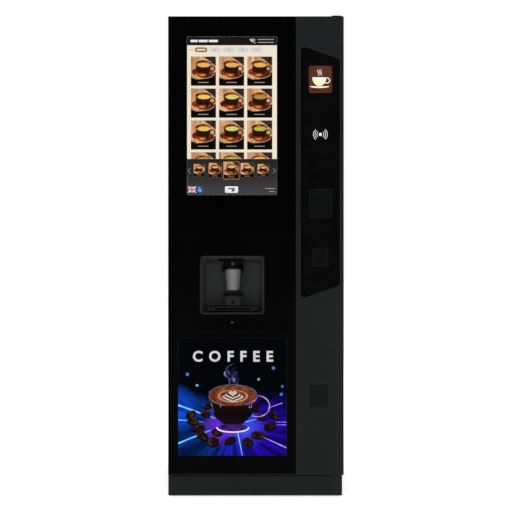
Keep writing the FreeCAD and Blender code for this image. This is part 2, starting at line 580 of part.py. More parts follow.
# The skin round the cup opening is four strips of sheet, butted together inside the main frame.
sheet = box(X0 + 3, COLUMN_X, GLASS_Y1, SKIN_Y1, SEAM_LOW, SEAM_HIGH)
strips = [box(X0 + 3, COLUMN_X, GLASS_Y1, SKIN_Y1, BAY[3], SEAM_HIGH)]
strips.append(box(X0 + 3, BAY[0], GLASS_Y1, SKIN_Y1, BAY[2], BAY[3]))
strips.append(box(BAY[1], COLUMN_X, GLASS_Y1, SKIN_Y1, BAY[2], BAY[3]))
low_strip = box(X0 + 3, COLUMN_X, GLASS_Y1, SKIN_Y1, SEAM_LOW, BAY[2])
strips.append(low_strip.cut(rod_y(SENSOR_HOLE, SENSOR[0], GLASS_Y1 - 1, SKIN_Y1 + 1, SENSOR[1])))
save(Part.makeCompound([door.cut(sheet)] + strips), "door_frame")

# Three panes of black toughened glass with narrow joints between them.


def pane(z0, z1):
    sheet = box(X0, COLUMN_X, Y0, GLASS_Y1, z0, z1)
    front = [e for e in sheet.Edges if e.BoundBox.YMax < Y0 + 0.01]
    return sheet.makeChamfer(0.8, front)


high = pane(SEAM_HIGH + SEAM_GAP / 2, CAB_Z1)
save(high.cut(box(SCREEN[0], SCREEN[1], Y0 - 1, GLASS_Y1 + 1, SCREEN[2], SCREEN[3])), "upper_glass")
middle = pane(SEAM_LOW + SEAM_GAP / 2, SEAM_HIGH - SEAM_GAP / 2)
middle = middle.cut(slab(BAY[0], BAY[1], BAY[2], BAY[3], BAY_CORNER, Y0 - 1, GLASS_Y1 + 1))
save(middle.cut(rod_y(SENSOR_HOLE, SENSOR[0], Y0 - 1, GLASS_Y1 + 1, SENSOR[1])), "middle_glass")
low = pane(GLASS_Z0, SEAM_LOW - SEAM_GAP / 2)
save(low.cut(box(POSTER[0], POSTER[1], Y0 - 1, GLASS_Y1 + 1, POSTER[2], POSTER[3])), "lower_glass")


def lit_panel(window, back, depth):
    # A picture face in the window of the glass and a wider case behind the door's skin.
    x0, x1, z0, z1 = window
    face = box(x0, x1, PICTURE_Y, SKIN_Y1, z0, z1)
    case = rounded(box(x0 - back, x1 + back, SKIN_Y1, SKIN_Y1 + depth, z0 - back, z1 + back), 5, "Y")
    return fuse([face, case])


save(lit_panel(SCREEN, 8, 28), "touch_display")
save(lit_panel(POSTER, 8, 14), "poster_lightbox")

# Payment panel: a plate behind the column's cut-out, so its face lies one sheet deeper.
save(panel_plate(8, Y0 + 3, Y0 + 7), "payment_panel")
save(slab(201, 289, 1535, 1638, 6, Y0 + 1, Y0 + 3), "pictogram_plate")
save(slab(202.5, 289, 1061, 1169, 2, Y0 + 1, Y0 + 3), "note_slot_cover")
save(slab(217, 274, 875.5, 945, 2, Y0 + 1, Y0 + 3), "coin_slot_cover")

# Card reader: a sealed case fixed behind the panel.
reader = [slab(206, 284, 1338, 1417, 6, Y0 + 7, Y0 + 28), slab(216, 274, 1350, 1405, 4, Y0 + 28, Y0 + 36)]
save(fuse(reader), "card_reader")

# Coin return: a moulded pocket behind the column and a top-hung flap.
cx0, cx1, cz0, cz1 = COIN_CUP
pocket = box(cx0 - 3, cx1 + 3, Y0 + 3, -310, cz0 - 3, cz1 + 3).cut(box(cx0, cx1, Y0, -313, cz0, cz1))
save(pocket.cut(rod_x(FLAP_PIN + RUNNING, cx0 - 5, cx1 + 5, *FLAP_AXIS)), "coin_return_pocket")
flap = box(cx0 + 1, cx1 - 1, Y0 + 0.2, Y0 + 2.7, cz0 + 1.5, cz1 - 3)
web = box(cx0 + 1, cx1 - 1, Y0 + 2, FLAP_AXIS[0], FLAP_AXIS[1] - 2, FLAP_AXIS[1] + 2)
save(fuse([flap, web, rod_x(FLAP_PIN, cx0 - 3, cx1 + 3, *FLAP_AXIS)]), "coin_return_flap")

# Coin changer: a case on the door's back cover with a row of coin tubes and a keypad strip.
CHANGER = (176.0, 286.0, -205.0)
COIN_TUBE_X = [192.0 + 26.0 * i for i in range(4)]
changer = [box(CHANGER[0], CHANGER[1], COVER_Y1, CHANGER[2], 480, 840)]
changer.append(rounded(box(CHANGER[0] + 4, CHANGER[1] - 4, CHANGER[2], -190, 500, 700), 5, "Y"))
for x in COIN_TUBE_X:
    changer.append(rod_z(11, x, CHANGER[2] + 1, 505, 690))
keys = [box(191 + 22 * i, 205 + 22 * i, CHANGER[2] - 1, CHANGER[2] + 2, 780, 794) for i in range(4)]
changer = fuse(changer).cut(keys)
save(changer, "coin_changer")

# Rim of the cup opening: a rounded tube through the glass, the door and its cover.
tube = slab(BAY[0], BAY[1], BAY[2], BAY[3], BAY_CORNER, Y0 + 0.5, COVER_Y1)
save(tube.cut(slab(*mouth, BAY_CORNER - BAY_WALL, Y0 - 1, COVER_Y1 + 1)), "bay_rim")

# Presence sensor: a domed lens in the middle pane and a case behind the skin.
sx, sz = SENSOR
dome = Part.makeSphere(16, Vector(sx, Y0 + 16, sz)).common(rod_y(SENSOR_R, sx, Y0, Y0 + 3, sz))
sensor = [dome, rod_y(SENSOR_R, sx, Y0 + 1.5, SKIN_Y1 + 1, sz)]
sensor.append(box(sx - 13, sx + 13, SKIN_Y1, SKIN_Y1 + 14, sz - 11.5, sz + 11.5))
save(fuse(sensor), "presence_sensor")

# Back cover of the door, with a window for the bay and slots for the lock hooks.
cover = box(-325, 325, DOOR_BACK, COVER_Y1, 90, 1818)
cuts = [box(-312, -302, DOOR_BACK - 1, COVER_Y1 + 1, z - 18, z + 40) for z in STRIKES]
cuts.append(box(-327, 327, DOOR_BACK - 1, COVER_Y1 + 1, BAY[2], BAY[3]))
cover = [cover.cut(cuts)]
cover.append(box(BAY[1], 325, DOOR_BACK, COVER_Y1, BAY[2], BAY[3]))
side_strip = box(-325, BAY[0], DOOR_BACK, COVER_Y1, BAY[2], BAY[3])
cover.append(side_strip.cut(box(-312, -302, DOOR_BACK - 1, COVER_Y1 + 1, STRIKES[1] - 18, STRIKES[1] + 40)))
save(Part.makeCompound(cover), "door_back_cover")

# Seal between the door and the cabinet.
SEAL = 11.0
seal_space = box(-324 + SEAL, 307 - SEAL, COVER_Y1 - 1, CAB_Y0 + 1, 92 + SEAL, 1812 - SEAL)
save(box(-324, 307, COVER_Y1, CAB_Y0, 92, 1812).cut(seal_space), "door_gasket")

# Lock: a housing in the door's left edge, a turning core and a sliding bar with three hooks.
# Each hook is an arm with a leg on either side of its pin.
housing = box(X0 + 3, X0 + 20, LOCK_Y - 20, LOCK_Y + 20, LOCK_Z - 25, LOCK_Z + 25)
housing = fuse([rod_x(LOCK_SHELL, X0, X0 + 4, LOCK_Y, LOCK_Z), housing])
save(housing.cut(rod_x(LOCK_R + RUNNING, X0 - 1, X0 + 21, LOCK_Y, LOCK_Z)), "lock_body")
core = rod_x(LOCK_R, X0 + 0.5, X0 + 20, LOCK_Y, LOCK_Z)
core = core.cut([box(X0, X0 + 3, LOCK_Y - 1.2, LOCK_Y + 1.2, LOCK_Z - 6, LOCK_Z + 6)])
core = fuse([core, box(X0 + 20, X0 + 23, LOCK_Y - 5, LOCK_Y + 5, LOCK_Z - 12, LOCK_Z + 12)])
save(core, "lock_core")
BAR_X0 = -309.0
BAR_X1 = -303.0
lock_bar = [box(BAR_X0, BAR_X1, -344, -330, 360, 1650)]
for z in STRIKES:
    lock_bar.append(box(BAR_X0, BAR_X1, -330, -276, z + 25, z + 38))
    lock_bar.append(box(BAR_X0, BAR_X1, -330, STRIKE_Y - 5, z + 6, z + 25))
    lock_bar.append(box(BAR_X0, BAR_X1, STRIKE_Y + 5, -276, z + 6, z + 25))
save(Part.makeCompound(lock_bar), "lock_bar")

# ---------------------------------------------------------------- pieces that move on their own

# Drip tray: a shallow tray with a slotted grille.
dx0, dx1, dy0, dy1, dz0, dz1 = -190.0, 8.0, -297.0, -196.0, 703.0, 718.0
drip = box(dx0, dx1, dy0, dy1, dz0, dz1).cut(box(dx0 + 3, dx1 - 3, dy0 + 3, dy1 - 3, dz0 + 2, dz1 - 3))
slots = [box(dx0 + 9 + 12 * i, dx0 + 15 + 12 * i, dy0 + 9, dy1 - 9, dz1 - 4, dz1 + 1) for i in range(15)]
save(drip.cut(slots), "drip_tray")

# Paper cup: thin tapered wall, rolled rim and a recessed base.
CUP_WALL = 1.0
profile = [(0, CUP_Z0 + 4), (CUP_R0 - CUP_WALL, CUP_Z0 + 4), (CUP_R0 - CUP_WALL, CUP_Z0), (CUP_R0, CUP_Z0)]
profile += [(CUP_R1, CUP_Z1 - 3), (CUP_RIM, CUP_Z1 - 2.4), (CUP_RIM, CUP_Z1 - 0.6), (CUP_RIM - 0.6, CUP_Z1)]
profile += [(CUP_R1 - 0.6, CUP_Z1), (CUP_R1 - CUP_WALL, CUP_Z1 - 2), (CUP_R0 - CUP_WALL + 0.6, CUP_Z0 + 6)]
profile += [(0, CUP_Z0 + 6), (0, CUP_Z0 + 4)]
wire = Part.makePolygon([Vector(CUP_X + r, CUP_Y, z) for r, z in profile])
cup = Part.Face(wire).revolve(Vector(CUP_X, CUP_Y, 0), Vector(0, 0, 1), 360)
save(Part.Solid(cup) if cup.ShapeType != "Solid" else cup, "paper_cup")

# Cup turret: a ring of tubes held in two plates on a shaft.
turret = [rod_z(TUBE_RING + 20, TURRET_X, TURRET_Y, z, z + PLATE) for z in (1040.0, 1250.0)]
turret.append(rod_z(8, TURRET_X, TURRET_Y, 952, 1300))
turret.append(rod_z(22, TURRET_X, TURRET_Y, 1004, 1040))
turret.append(Part.makeCone(22, 8, 20, Vector(TURRET_X, TURRET_Y, 1254)))
start = math.degrees(math.atan2(CUP_Y - TURRET_Y, CUP_X - TURRET_X))
tubes = []
bores = []
for i in range(TUBE_COUNT):
    a = math.radians(start + 360 / TUBE_COUNT * i)
    x = TURRET_X + TUBE_RING * math.cos(a)
    y = TURRET_Y + TUBE_RING * math.sin(a)
    tubes.append(rod_z(TUBE_R, x, y, TUBE_Z0, TUBE_Z1))
    bore = rod_z(TUBE_R - TUBE_WALL, x, y, TUBE_Z0 + 2, TUBE_Z1 + 1)
    bores.append([bore, rod_z(33, x, y, TUBE_Z0 - 1, TUBE_Z0 + 3)])
core = fuse(turret).cut(tubes)
save(Part.makeCompound([core] + [t.cut(b) for t, b in zip(tubes, bores)]), "cup_turret")

# Augers: a coil on a shaft, carried in the rear wall of each canister.
AUGER_PITCH = 20.0
COIL_R = 2.4
auger_y0 = CANISTER_Y0 - 30
auger_len = 270.0
for i, x in enumerate(CANISTER_X):
    spiral = Part.makeHelix(AUGER_PITCH, auger_len, AUGER_R - COIL_R)
    ring = Part.Wire(Part.makeCircle(COIL_R, Vector(AUGER_R - COIL_R, 0, 0), Vector(0, 1, 0)))
    coil = Part.Wire(spiral.Edges).makePipeShell([ring], True, True)
    coil.rotate(Vector(0, 0, 0), Vector(1, 0, 0), -90)
    coil.translate(Vector(x, auger_y0, AUGER_Z))
    spoke_y = (auger_y0, auger_y0 + auger_len / 2)
    spokes = [rod_x(COIL_R - 0.4, x, x + AUGER_R - COIL_R, y, AUGER_Z) for y in spoke_y]
    shaft = rod_y(4, x, auger_y0 - 3, BACKPLATE_Y + PLATE, AUGER_Z)
    save(fuse([shaft, coil] + spokes), "auger_%d" % (i + 1))

# Lids: a flap with its pin on the top rear edge and a finger lip at the front.


def lid(x0, x1, y0):
    flap = box(x0, x1, y0, LID_HINGE_Y, CANISTER_Z1, CANISTER_Z1 + LID)
    lip = box(x0 + 20, x1 - 20, y0 - 6, y0 + 1, CANISTER_Z1, CANISTER_Z1 + LID)
    return fuse([flap, lip, rod_x(2, x0 - 3, x1 + 3, LID_HINGE_Y, CANISTER_Z1 + LID)])


for i, x in enumerate(CANISTER_X):
    save(lid(x - CANISTER_HALF, x + CANISTER_HALF, CANISTER_Y0), "canister_lid_%d" % (i + 1))
save(lid(hx0, hx1, hy0), "hopper_lid")

# Brewing piston on its rod.
piston = [rod_z(BREW_BORE - 0.3, BREW_X, BREW_Y, 1102, 1128), rod_z(8, BREW_X, BREW_Y, 1128, 1282)]
piston.append(rod_z(12, BREW_X, BREW_Y, 1128, 1134))
save(fuse(piston), "brew_piston")

# Fan rotor: a hub with seven pitched blades on a stub shaft.
rotor = [rod_y(20, fx, 348, 364, fz), rod_y(3, fx, FAN_Y0 + 0.5, 350, fz)]
for i in range(7):
    blade = box(15, 52, -8, 8, -1, 1)
    blade.rotate(Vector(0, 0, 0), Vector(1, 0, 0), 35)
    blade.rotate(Vector(0, 0, 0), Vector(0, 1, 0), 360 / 7 * i)
    blade.translate(Vector(fx, 356, fz))
    rotor.append(blade)
save(fuse(rotor), "fan_rotor")
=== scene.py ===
import json
import random
from math import atan2, cos, hypot, pi, radians, sin

import bpy
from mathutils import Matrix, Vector


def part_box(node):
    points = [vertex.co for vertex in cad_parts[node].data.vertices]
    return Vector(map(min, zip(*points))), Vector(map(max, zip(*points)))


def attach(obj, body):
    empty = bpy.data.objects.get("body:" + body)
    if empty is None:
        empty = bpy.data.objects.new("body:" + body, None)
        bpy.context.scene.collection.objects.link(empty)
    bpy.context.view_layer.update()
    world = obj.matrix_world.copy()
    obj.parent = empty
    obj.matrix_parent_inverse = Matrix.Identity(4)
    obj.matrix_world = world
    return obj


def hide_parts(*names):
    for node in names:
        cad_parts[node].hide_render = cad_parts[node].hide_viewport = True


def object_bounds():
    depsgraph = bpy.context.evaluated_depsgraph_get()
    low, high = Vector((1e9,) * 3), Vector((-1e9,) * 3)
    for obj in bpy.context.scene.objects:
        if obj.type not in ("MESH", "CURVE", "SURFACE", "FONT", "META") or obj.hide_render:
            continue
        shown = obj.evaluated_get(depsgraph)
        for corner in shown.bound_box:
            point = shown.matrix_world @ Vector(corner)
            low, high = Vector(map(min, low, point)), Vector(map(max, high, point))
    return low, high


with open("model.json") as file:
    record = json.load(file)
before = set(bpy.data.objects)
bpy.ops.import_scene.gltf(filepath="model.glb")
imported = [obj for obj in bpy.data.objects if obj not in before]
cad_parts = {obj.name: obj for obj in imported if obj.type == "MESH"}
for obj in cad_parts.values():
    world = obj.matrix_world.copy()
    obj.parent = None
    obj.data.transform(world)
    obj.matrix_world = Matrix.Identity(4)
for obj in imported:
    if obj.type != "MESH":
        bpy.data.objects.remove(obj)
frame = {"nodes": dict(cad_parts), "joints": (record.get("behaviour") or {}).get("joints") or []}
cad_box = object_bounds()

# ---- Outer sheet metal
# Folded steel wrap, kick plate and door frame, all in one charcoal powder coat. The coat
# has a fine orange-peel texture and goes a little lighter where it lies thin.


def tint(red, green, blue):
    # A screen colour, 0 to 255, as the linear colour that a shader takes.
    return tuple(c / 12.92 if c <= 0.04045 else ((c + 0.055) / 1.055) ** 2.4 for c in (
        red / 255, green / 255, blue / 255,
    )) + (1,)


def feed(tree, value, socket):
    # Links a pattern to a socket, or sets a plain value on it.
    if isinstance(value, bpy.types.NodeSocket):
        tree.links.new(value, socket)
    else:
        socket.default_value = value


def add(tree, kind, settings=None, **sockets):
    made = tree.nodes.new("ShaderNode" + kind)
    for key, value in (settings or {}).items():
        setattr(made, key, value)
    for key, value in sockets.items():
        feed(tree, value, made.inputs[key.replace("_", " ")])
    return made


def here(tree):
    return add(tree, "TexCoord").outputs["Object"]


def grain(tree, scale, detail=3, stretch=(1, 1, 1), rough=0.5):
    spread = add(tree, "Mapping", Vector=here(tree), Scale=stretch).outputs["Vector"]
    return add(tree, "TexNoise", Vector=spread, Scale=scale, Detail=detail, Roughness=rough).outputs["Fac"]


def ramp(tree, amount, stops):
    made = add(tree, "ValToRGB", Fac=amount)
    marks = made.color_ramp.elements
    while len(marks) < len(stops):
        marks.new(0.5)
    for mark, (at, colour) in zip(marks, stops):
        mark.position = at
        mark.color = tint(*colour)
    return made.outputs["Color"]


def between(tree, amount, low, high, a=0.3, b=0.7):
    return add(tree, "MapRange", Value=amount, From_Min=a, From_Max=b, To_Min=low, To_Max=high).outputs["Result"]


def blank(name, rough=0.5, metal=0, coat=0, clear=0, gloss=0.5):
    made = bpy.data.materials.new(name)
    made.use_nodes = True
    shader = made.node_tree.nodes["Principled BSDF"]
    plain = {"Roughness": rough, "Metallic": metal, "Coat Weight": coat, "Coat Roughness": 0.08}
    for key, value in {**plain, "Transmission Weight": clear, "Specular IOR Level": gloss}.items():
        shader.inputs[key].default_value = value
    return made, made.node_tree, shader


def surface(name, dark, light, rough, broad=9, fine=700, depth=0.06, stretch=(1, 1, 1), **kind):
    # Two close tones in broad clouds, a fine relief, and a roughness that wanders with the clouds.
    made, tree, shader = blank(name, **kind)
    clouds = grain(tree, broad, 5, stretch)
    tree.links.new(ramp(tree, clouds, [(0.32, dark), (0.68, light)]), shader.inputs["Base Color"])
    tree.links.new(between(tree, grain(tree, broad * 3, 4, stretch), rough[0], rough[1]), shader.inputs["Roughness"])
    relief = add(tree, "Bump", Height=grain(tree, fine, 2, stretch), Strength=depth, Distance=0.001)
    tree.links.new(relief.outputs["Normal"], shader.inputs["Normal"])
    return made


def dress(finish, *names):
    for name in names:
        for holder in frame["nodes"][name].material_slots:
            holder.material = finish


powder_coat = surface("charcoal powder coat", (17, 18, 19), (21, 22, 23), (0.5, 0.62), 7, 900, 0.16, gloss=0.12)
dress(powder_coat, "cabinet_shell", "plinth", "door_frame")

# ---- Black glass front
# Three panes of toughened glass, painted black on the back and bonded to the door frame.
# The gloss carries a very faint haze from wiping.

glass, tree, shader = blank("black glass", 0.05, gloss=0.015)
haze = grain(tree, 5, 6, (1, 1, 0.35), 0.6)
tree.links.new(ramp(tree, haze, [(0.35, (2, 2, 2)), (0.75, (4, 4, 4))]), shader.inputs["Base Color"])
tree.links.new(between(tree, haze, 0.03, 0.1), shader.inputs["Roughness"])
dress(glass, "upper_glass", "middle_glass", "lower_glass")

# ---- Payment panel and its plates
# A matt black plate set one sheet deeper than the column, with a brown printed plate and
# two moulded blanks where a note slot and a coin slot would be.

panel_paint = surface("matt panel paint", (2, 2, 3), (5, 5, 6), (0.55, 0.7), 11, 1300, 0.1, gloss=0.03)
dress(panel_paint, "payment_panel")
blank_plastic = surface("blanking plastic", (5, 7, 6), (9, 11, 10), (0.5, 0.6), 14, 1600, 0.14, gloss=0.04)
dress(blank_plastic, "note_slot_cover", "coin_slot_cover")
dress(
    surface("flap plastic", (11, 14, 13), (15, 18, 17), (0.5, 0.6), 14, 1600, 0.14, gloss=0.06),
    "coin_return_flap",
)

# ---- Moulded dark plastic
# Injection-moulded pieces around the cup bay and inside the door: spark-eroded grain, and
# slightly greyer on the broad faces that get wiped.

bay_plastic = surface("bay plastic", (58, 59, 60), (66, 67, 68), (0.42, 0.55), 16, 1100, 0.1, gloss=0.2)
dress(bay_plastic, "cup_bay_liner", "coin_return_pocket")
black_plastic = surface("black moulding", (17, 17, 18), (24, 24, 25), (0.38, 0.52), 18, 1200, 0.08)
dress(black_plastic, "card_reader", "grounds_chute", "brewer_frame", "mixing_bowls")
dress(black_plastic, "connection_box", "fan_frame", "fan_rotor", "coin_changer", "grounds_bin")
dress(black_plastic, "canister_lid_1", "canister_lid_2", "canister_lid_3", "hopper_lid")
dress(
    surface("grey moulding", (168, 171, 172), (184, 187, 188), (0.4, 0.5), 12, 900, 0.06),
    "cup_dispenser", "waste_bucket",
)
white_plastic = surface("white moulding", (222, 222, 218), (234, 234, 230), (0.35, 0.45), 15, 900, 0.05)
dress(white_plastic, "auger_1", "auger_2", "auger_3")

# ---- Galvanised and plated steel
# Rear panel, base, shelves and the door's inner cover are galvanised sheet with a soft
# spangle. Brackets, bars and the piston are turned or plated steel.

galvanised, tree, shader = blank("galvanised sheet", 0.4, 0.9)
place = here(tree)
spangle = add(tree, "TexVoronoi", Vector=place, Scale=95, Randomness=1).outputs["Color"]
flakes = add(tree, "SeparateColor", Color=spangle).outputs["Red"]
tree.links.new(ramp(tree, flakes, [(0, (142, 146, 149)), (1, (166, 169, 171))]), shader.inputs["Base Color"])
tree.links.new(between(tree, flakes, 0.34, 0.5, 0, 1), shader.inputs["Roughness"])
worn = add(tree, "Bump", Height=grain(tree, 400, 3), Strength=0.04, Distance=0.001).outputs["Normal"]
tree.links.new(worn, shader.inputs["Normal"])
dress(galvanised, "rear_panel", "base_frame", "equipment_frame", "door_back_cover", "control_box")
plated = surface("plated steel", (176, 176, 178), (198, 198, 200), (0.22, 0.36), 30, 1500, 0.04, metal=1)
dress(plated, "lock_bar", "brew_piston")
brushed = surface(
    "brushed stainless", (178, 178, 178), (206, 206, 205), (0.26, 0.4), 60, 500, 0.08, (1, 1, 0.03), metal=1,
)
dress(brushed, "boiler", "mixer_drive")
polished = surface("polished chrome", (214, 214, 216), (228, 228, 230), (0.06, 0.12), 40, 1500, 0.01, metal=1)
dress(polished, "lock_body", "lock_core")
dress(surface("cast aluminium", (172, 173, 175), (196, 197, 198), (0.4, 0.55), 40, 600, 0.2, metal=1), "grinder")
brass = surface("pump brass", (186, 150, 84), (208, 172, 104), (0.25, 0.4), 40, 1000, 0.05, metal=1)
dress(brass, "water_pump")

# ---- Rubber, foam and silicone
# The door seal is closed-cell foam, the feet are moulded rubber, and the hoses are milky
# silicone tube with a faint run of light along them.

foam = surface("seal foam", (30, 30, 31), (40, 40, 41), (0.85, 0.95), 60, 1400, 0.3, gloss=0.2)
dress(foam, "door_gasket")
dress(surface("foot rubber", (26, 26, 26), (36, 36, 36), (0.7, 0.85), 40, 900, 0.2, gloss=0.3), "levelling_feet")
silicone = surface("silicone tube", (206, 204, 196), (222, 220, 214), (0.3, 0.4), 30, 900, 0.05)
dress(silicone, "hoses")

# ---- Clear and translucent mouldings
# Canisters are frosted, and the bean hopper and water tank are clear with a smoky tint.

frosted = surface("frosted canister", (214, 218, 220), (226, 230, 231), (0.28, 0.4), 20, 900, 0.04, clear=0.55)
dress(frosted, "powder_canisters")
smoked = surface("smoked clear plastic", (196, 202, 206), (212, 217, 220), (0.08, 0.14), 10, 900, 0.02, clear=0.85)
dress(smoked, "bean_hopper", "water_tank")

# ---- Cup board
# The paper cup is coated off-white board with faint fibres and a soft sheen; its colour is painted down to mid grey
# as painted shade from the bay.

shaded_board = surface("cup board with painted shade", (103, 102, 102), (114, 113, 112), (0.45, 0.58), 25, 1400, 0.12)
dress(shaded_board, "paper_cup")

# ---- Dark lens
# A smoked dome over the presence sensor.

lens = surface("smoked lens", (10, 10, 14), (16, 16, 22), (0.05, 0.09), 60, 900, 0.01, coat=0.6)
dress(lens, "presence_sensor")

# ---- Touch screen picture
# A tall lit panel behind its own cover glass. The menu is a cream page of drink tiles under
# a dark header, over a dark strip with smaller tiles, all in hair-thin layers.


def pick(*pieces):
    # Selects these pieces and no others, with the first as the active one.
    bpy.ops.object.select_all(action="DESELECT")
    for piece in pieces:
        piece.select_set(True)
        bpy.context.view_layer.objects.active = pieces[0]


def settle():
    bpy.ops.object.transform_apply(location=True, rotation=True, scale=True)


def keep(pieces, name, finish, body):
    # Joins the pieces, puts their place in the mesh and hands them to the body they ride on.
    pieces = pieces if isinstance(pieces, list) else [pieces]
    pick(*pieces)
    if len(pieces) > 1:
        bpy.ops.object.join()
    settle()
    piece = bpy.context.object
    piece.name = piece.data.name = name
    piece.data.materials.clear()
    piece.data.materials.append(finish)
    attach(piece, body)
    return piece


def on_screen(pieces, name, finish):
    keep(pieces, name, finish, "door")


def in_edit(*steps):
    # Works on all of the active piece, one operator after the other.
    bpy.ops.object.mode_set(mode="EDIT")
    for action, settings in steps:
        bpy.ops.mesh.select_all(action="SELECT")
        action(**settings)
    bpy.ops.object.mode_set(mode="OBJECT")


outwards = (bpy.ops.mesh.normals_make_consistent, {"inside": False})


def thicken(*way):
    # Gives the flat face that is being edited a body behind it.
    in_edit((bpy.ops.mesh.extrude_region_move, {"TRANSFORM_OT_translate": {"value": way}}), outwards)


def placed(name, data):
    piece = bpy.data.objects.new(name, data)
    bpy.context.scene.collection.objects.link(piece)
    return piece


def drawn(verts, edges=(), faces=()):
    shape = bpy.data.meshes.new("shape")
    shape.from_pydata(verts, edges, faces)
    piece = placed("shape", shape)
    pick(piece)
    return piece


LAYER = 0.00009
FILM = 0.00007


def card(x0, x1, z0, z1, y, corner=0, steps=4, depth=FILM):
    pick()
    bpy.ops.mesh.primitive_plane_add(size=1, location=((x0 + x1) / 2, y, (z0 + z1) / 2), rotation=(pi / 2, 0, 0))
    bpy.context.object.scale = (x1 - x0, z1 - z0, 1)
    settle()
    if corner:
        in_edit((bpy.ops.mesh.bevel, {"offset": corner, "segments": steps, "affect": "VERTICES"}))
    thicken(0, depth, 0)
    return bpy.context.object


def oval(x, z, rx, rz, y, sides=32, turn=0, depth=FILM):
    pick()
    bpy.ops.mesh.primitive_circle_add(vertices=sides, radius=1, fill_type="NGON", rotation=(pi / 2, 0, 0))
    piece = bpy.context.object
    bpy.ops.object.transform_apply(location=False, rotation=True, scale=False)
    piece.scale = (rx, 1, rz)
    bpy.ops.object.transform_apply(location=False, rotation=False, scale=True)
    piece.rotation_euler = (0, turn, 0)
    piece.location = (x, y, z)
    bpy.ops.object.transform_apply(location=True, rotation=True, scale=False)
    thicken(0, depth, 0)
    return piece


def polygon(points, y, depth=FILM):
    piece = drawn([(x, y, z) for x, z in points], [], [list(range(len(points)))])
    thicken(0, depth, 0)
    return piece


def ribbon(points, width, y, closed=False, depth=FILM):
    # A flat line of even width through the points, as a drawn stroke.
    left, right = [], []
    count = len(points)
    for i, (x, z) in enumerate(points):
        ax, az = points[i - 1] if i or closed else points[i]
        bx, bz = points[(i + 1) % count] if i < count - 1 or closed else points[i]
        length = hypot(bx - ax, bz - az) or 1
        nx, nz = -(bz - az) / length, (bx - ax) / length
        w = width[i] / 2 if isinstance(width, list) else width / 2
        left.append((x + nx * w, z + nz * w))
        right.append((x - nx * w, z - nz * w))
    pairs = [(i, (i + 1) % count) for i in range(count if closed else count - 1)]
    piece = drawn([(x, y, z) for x, z in left + right], [], [[i, j, count + j, count + i] for i, j in pairs])
    thicken(0, depth, 0)
    return piece


def arc(x, z, rx, rz, a, b, steps=20):
    turns = [radians(a + (b - a) * i / steps) for i in range(steps + 1)]
    return [(x + rx * cos(t), z + rz * sin(t)) for t in turns]


def light_up(tree, shader, colour, glow):
    # A backlit picture gives its own light and has a dark face of its own; a print has none.
    if glow:
        tree.links.new(colour, shader.inputs["Emission Color"])
        shader.inputs["Emission Strength"].default_value = glow
        shader.inputs["Base Color"].default_value = (0.001, 0.001, 0.001, 1)
    else:
        tree.links.new(colour, shader.inputs["Base Color"])


def lit(name, stops, scale=30, glow=1, stretch=(1, 1, 1), turn=0, detail=3):
    # A printed or lit colour. The stops are two close colours, or (place, colour) pairs.
    made, tree, shader = blank(name, 0.3, gloss=0)
    spread = add(tree, "Mapping", Vector=here(tree), Scale=stretch, Rotation=(0, turn, 0)).outputs["Vector"]
    cloud = add(tree, "TexNoise", Vector=spread, Scale=scale, Detail=detail).outputs["Fac"]
    stops = stops if len(stops[0]) == 2 else zip((0.35, 0.65), stops)
    light_up(tree, shader, ramp(tree, cloud, list(stops)), glow)
    return made


EDGE = 0.008
low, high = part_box("touch_display")
sx, sz, sy = low.x + EDGE, low.z + EDGE, low.y
screen_w, screen_h = high.x - EDGE - sx, high.z - EDGE - sz


def layer(n, base=None):
    return (sy if base is None else base) - 0.00012 - n * LAYER


def block(x0, x1, z0, z1, n, corner=0):
    return card(sx + x0 / 1000, sx + x1 / 1000, sz + z0 / 1000, sz + z1 / 1000, layer(n), corner / 1000)


STRIP_TOP, PAGE_TOP = 137, 569
cream = lit("page cream", ((236, 226, 206), (240, 230, 212)), 6)
header = lit("header grey", ((21, 21, 22), (27, 27, 28)), 8)
screen_white = lit("screen white", ((226, 226, 226), (240, 240, 240)), 60)
tab_brown = lit("tab brown", ((150, 112, 74), (164, 124, 84)), 90)
tab_grey = lit("tab grey", ((212, 205, 208), (220, 213, 214)), 90)
caption = lit("caption grey", ((150, 144, 140), (196, 190, 184)), 900)
orange = lit("border orange", ((186, 104, 48), (206, 120, 58)), 90)

strip_paint, tree, shader = blank("strip grey", 0.3, gloss=0)
place = here(tree)
height = add(tree, "SeparateXYZ", Vector=place).outputs["Z"]
lift = between(tree, height, 0, 1, sz, sz + STRIP_TOP / 1000)
shade = ramp(tree, lift, [(0, (66, 66, 67)), (0.5, (47, 46, 46)), (1, (35, 34, 34))])
light_up(tree, shader, shade, 1)

W, H = screen_w * 1000, screen_h * 1000
on_screen(block(0.4, W - 0.4, STRIP_TOP, PAGE_TOP, 0), "menu_page", cream)
on_screen(block(0.4, W - 0.4, PAGE_TOP, H - 0.4, 0), "menu_header", header)
on_screen(block(0.4, W - 0.4, 0.4, STRIP_TOP, 0), "menu_strip", strip_paint)

tabs = [block(x0, x0 + 45, 543, 561, 1, 8.6) for x0 in (83, 136, 188, 241)]
on_screen(tabs, "menu_tabs", tab_grey)
on_screen(block(29, 77, 542.5, 561.5, 1, 9), "menu_tab_open", tab_brown)
marks = [block(8, 23, 550.5, 553, 1)]
marks += [block(x0 + 19, x0 + 26, 550.5, 553.5, 2) for x0 in (83, 136, 188, 241)]
on_screen(marks, "tab_marks", lit("mark grey", ((122, 116, 116), (150, 144, 142)), 500))
on_screen(block(37, 69, 549.5, 554.5, 2, 1), "tab_open_mark", screen_white)

# ---- Drink tiles on the screen
# Every tile shows a glass of coffee on a saucer over pale wood, with a dark corner behind it
# and a black foot for its caption. One tile is drawn once and repeated with its own colours.

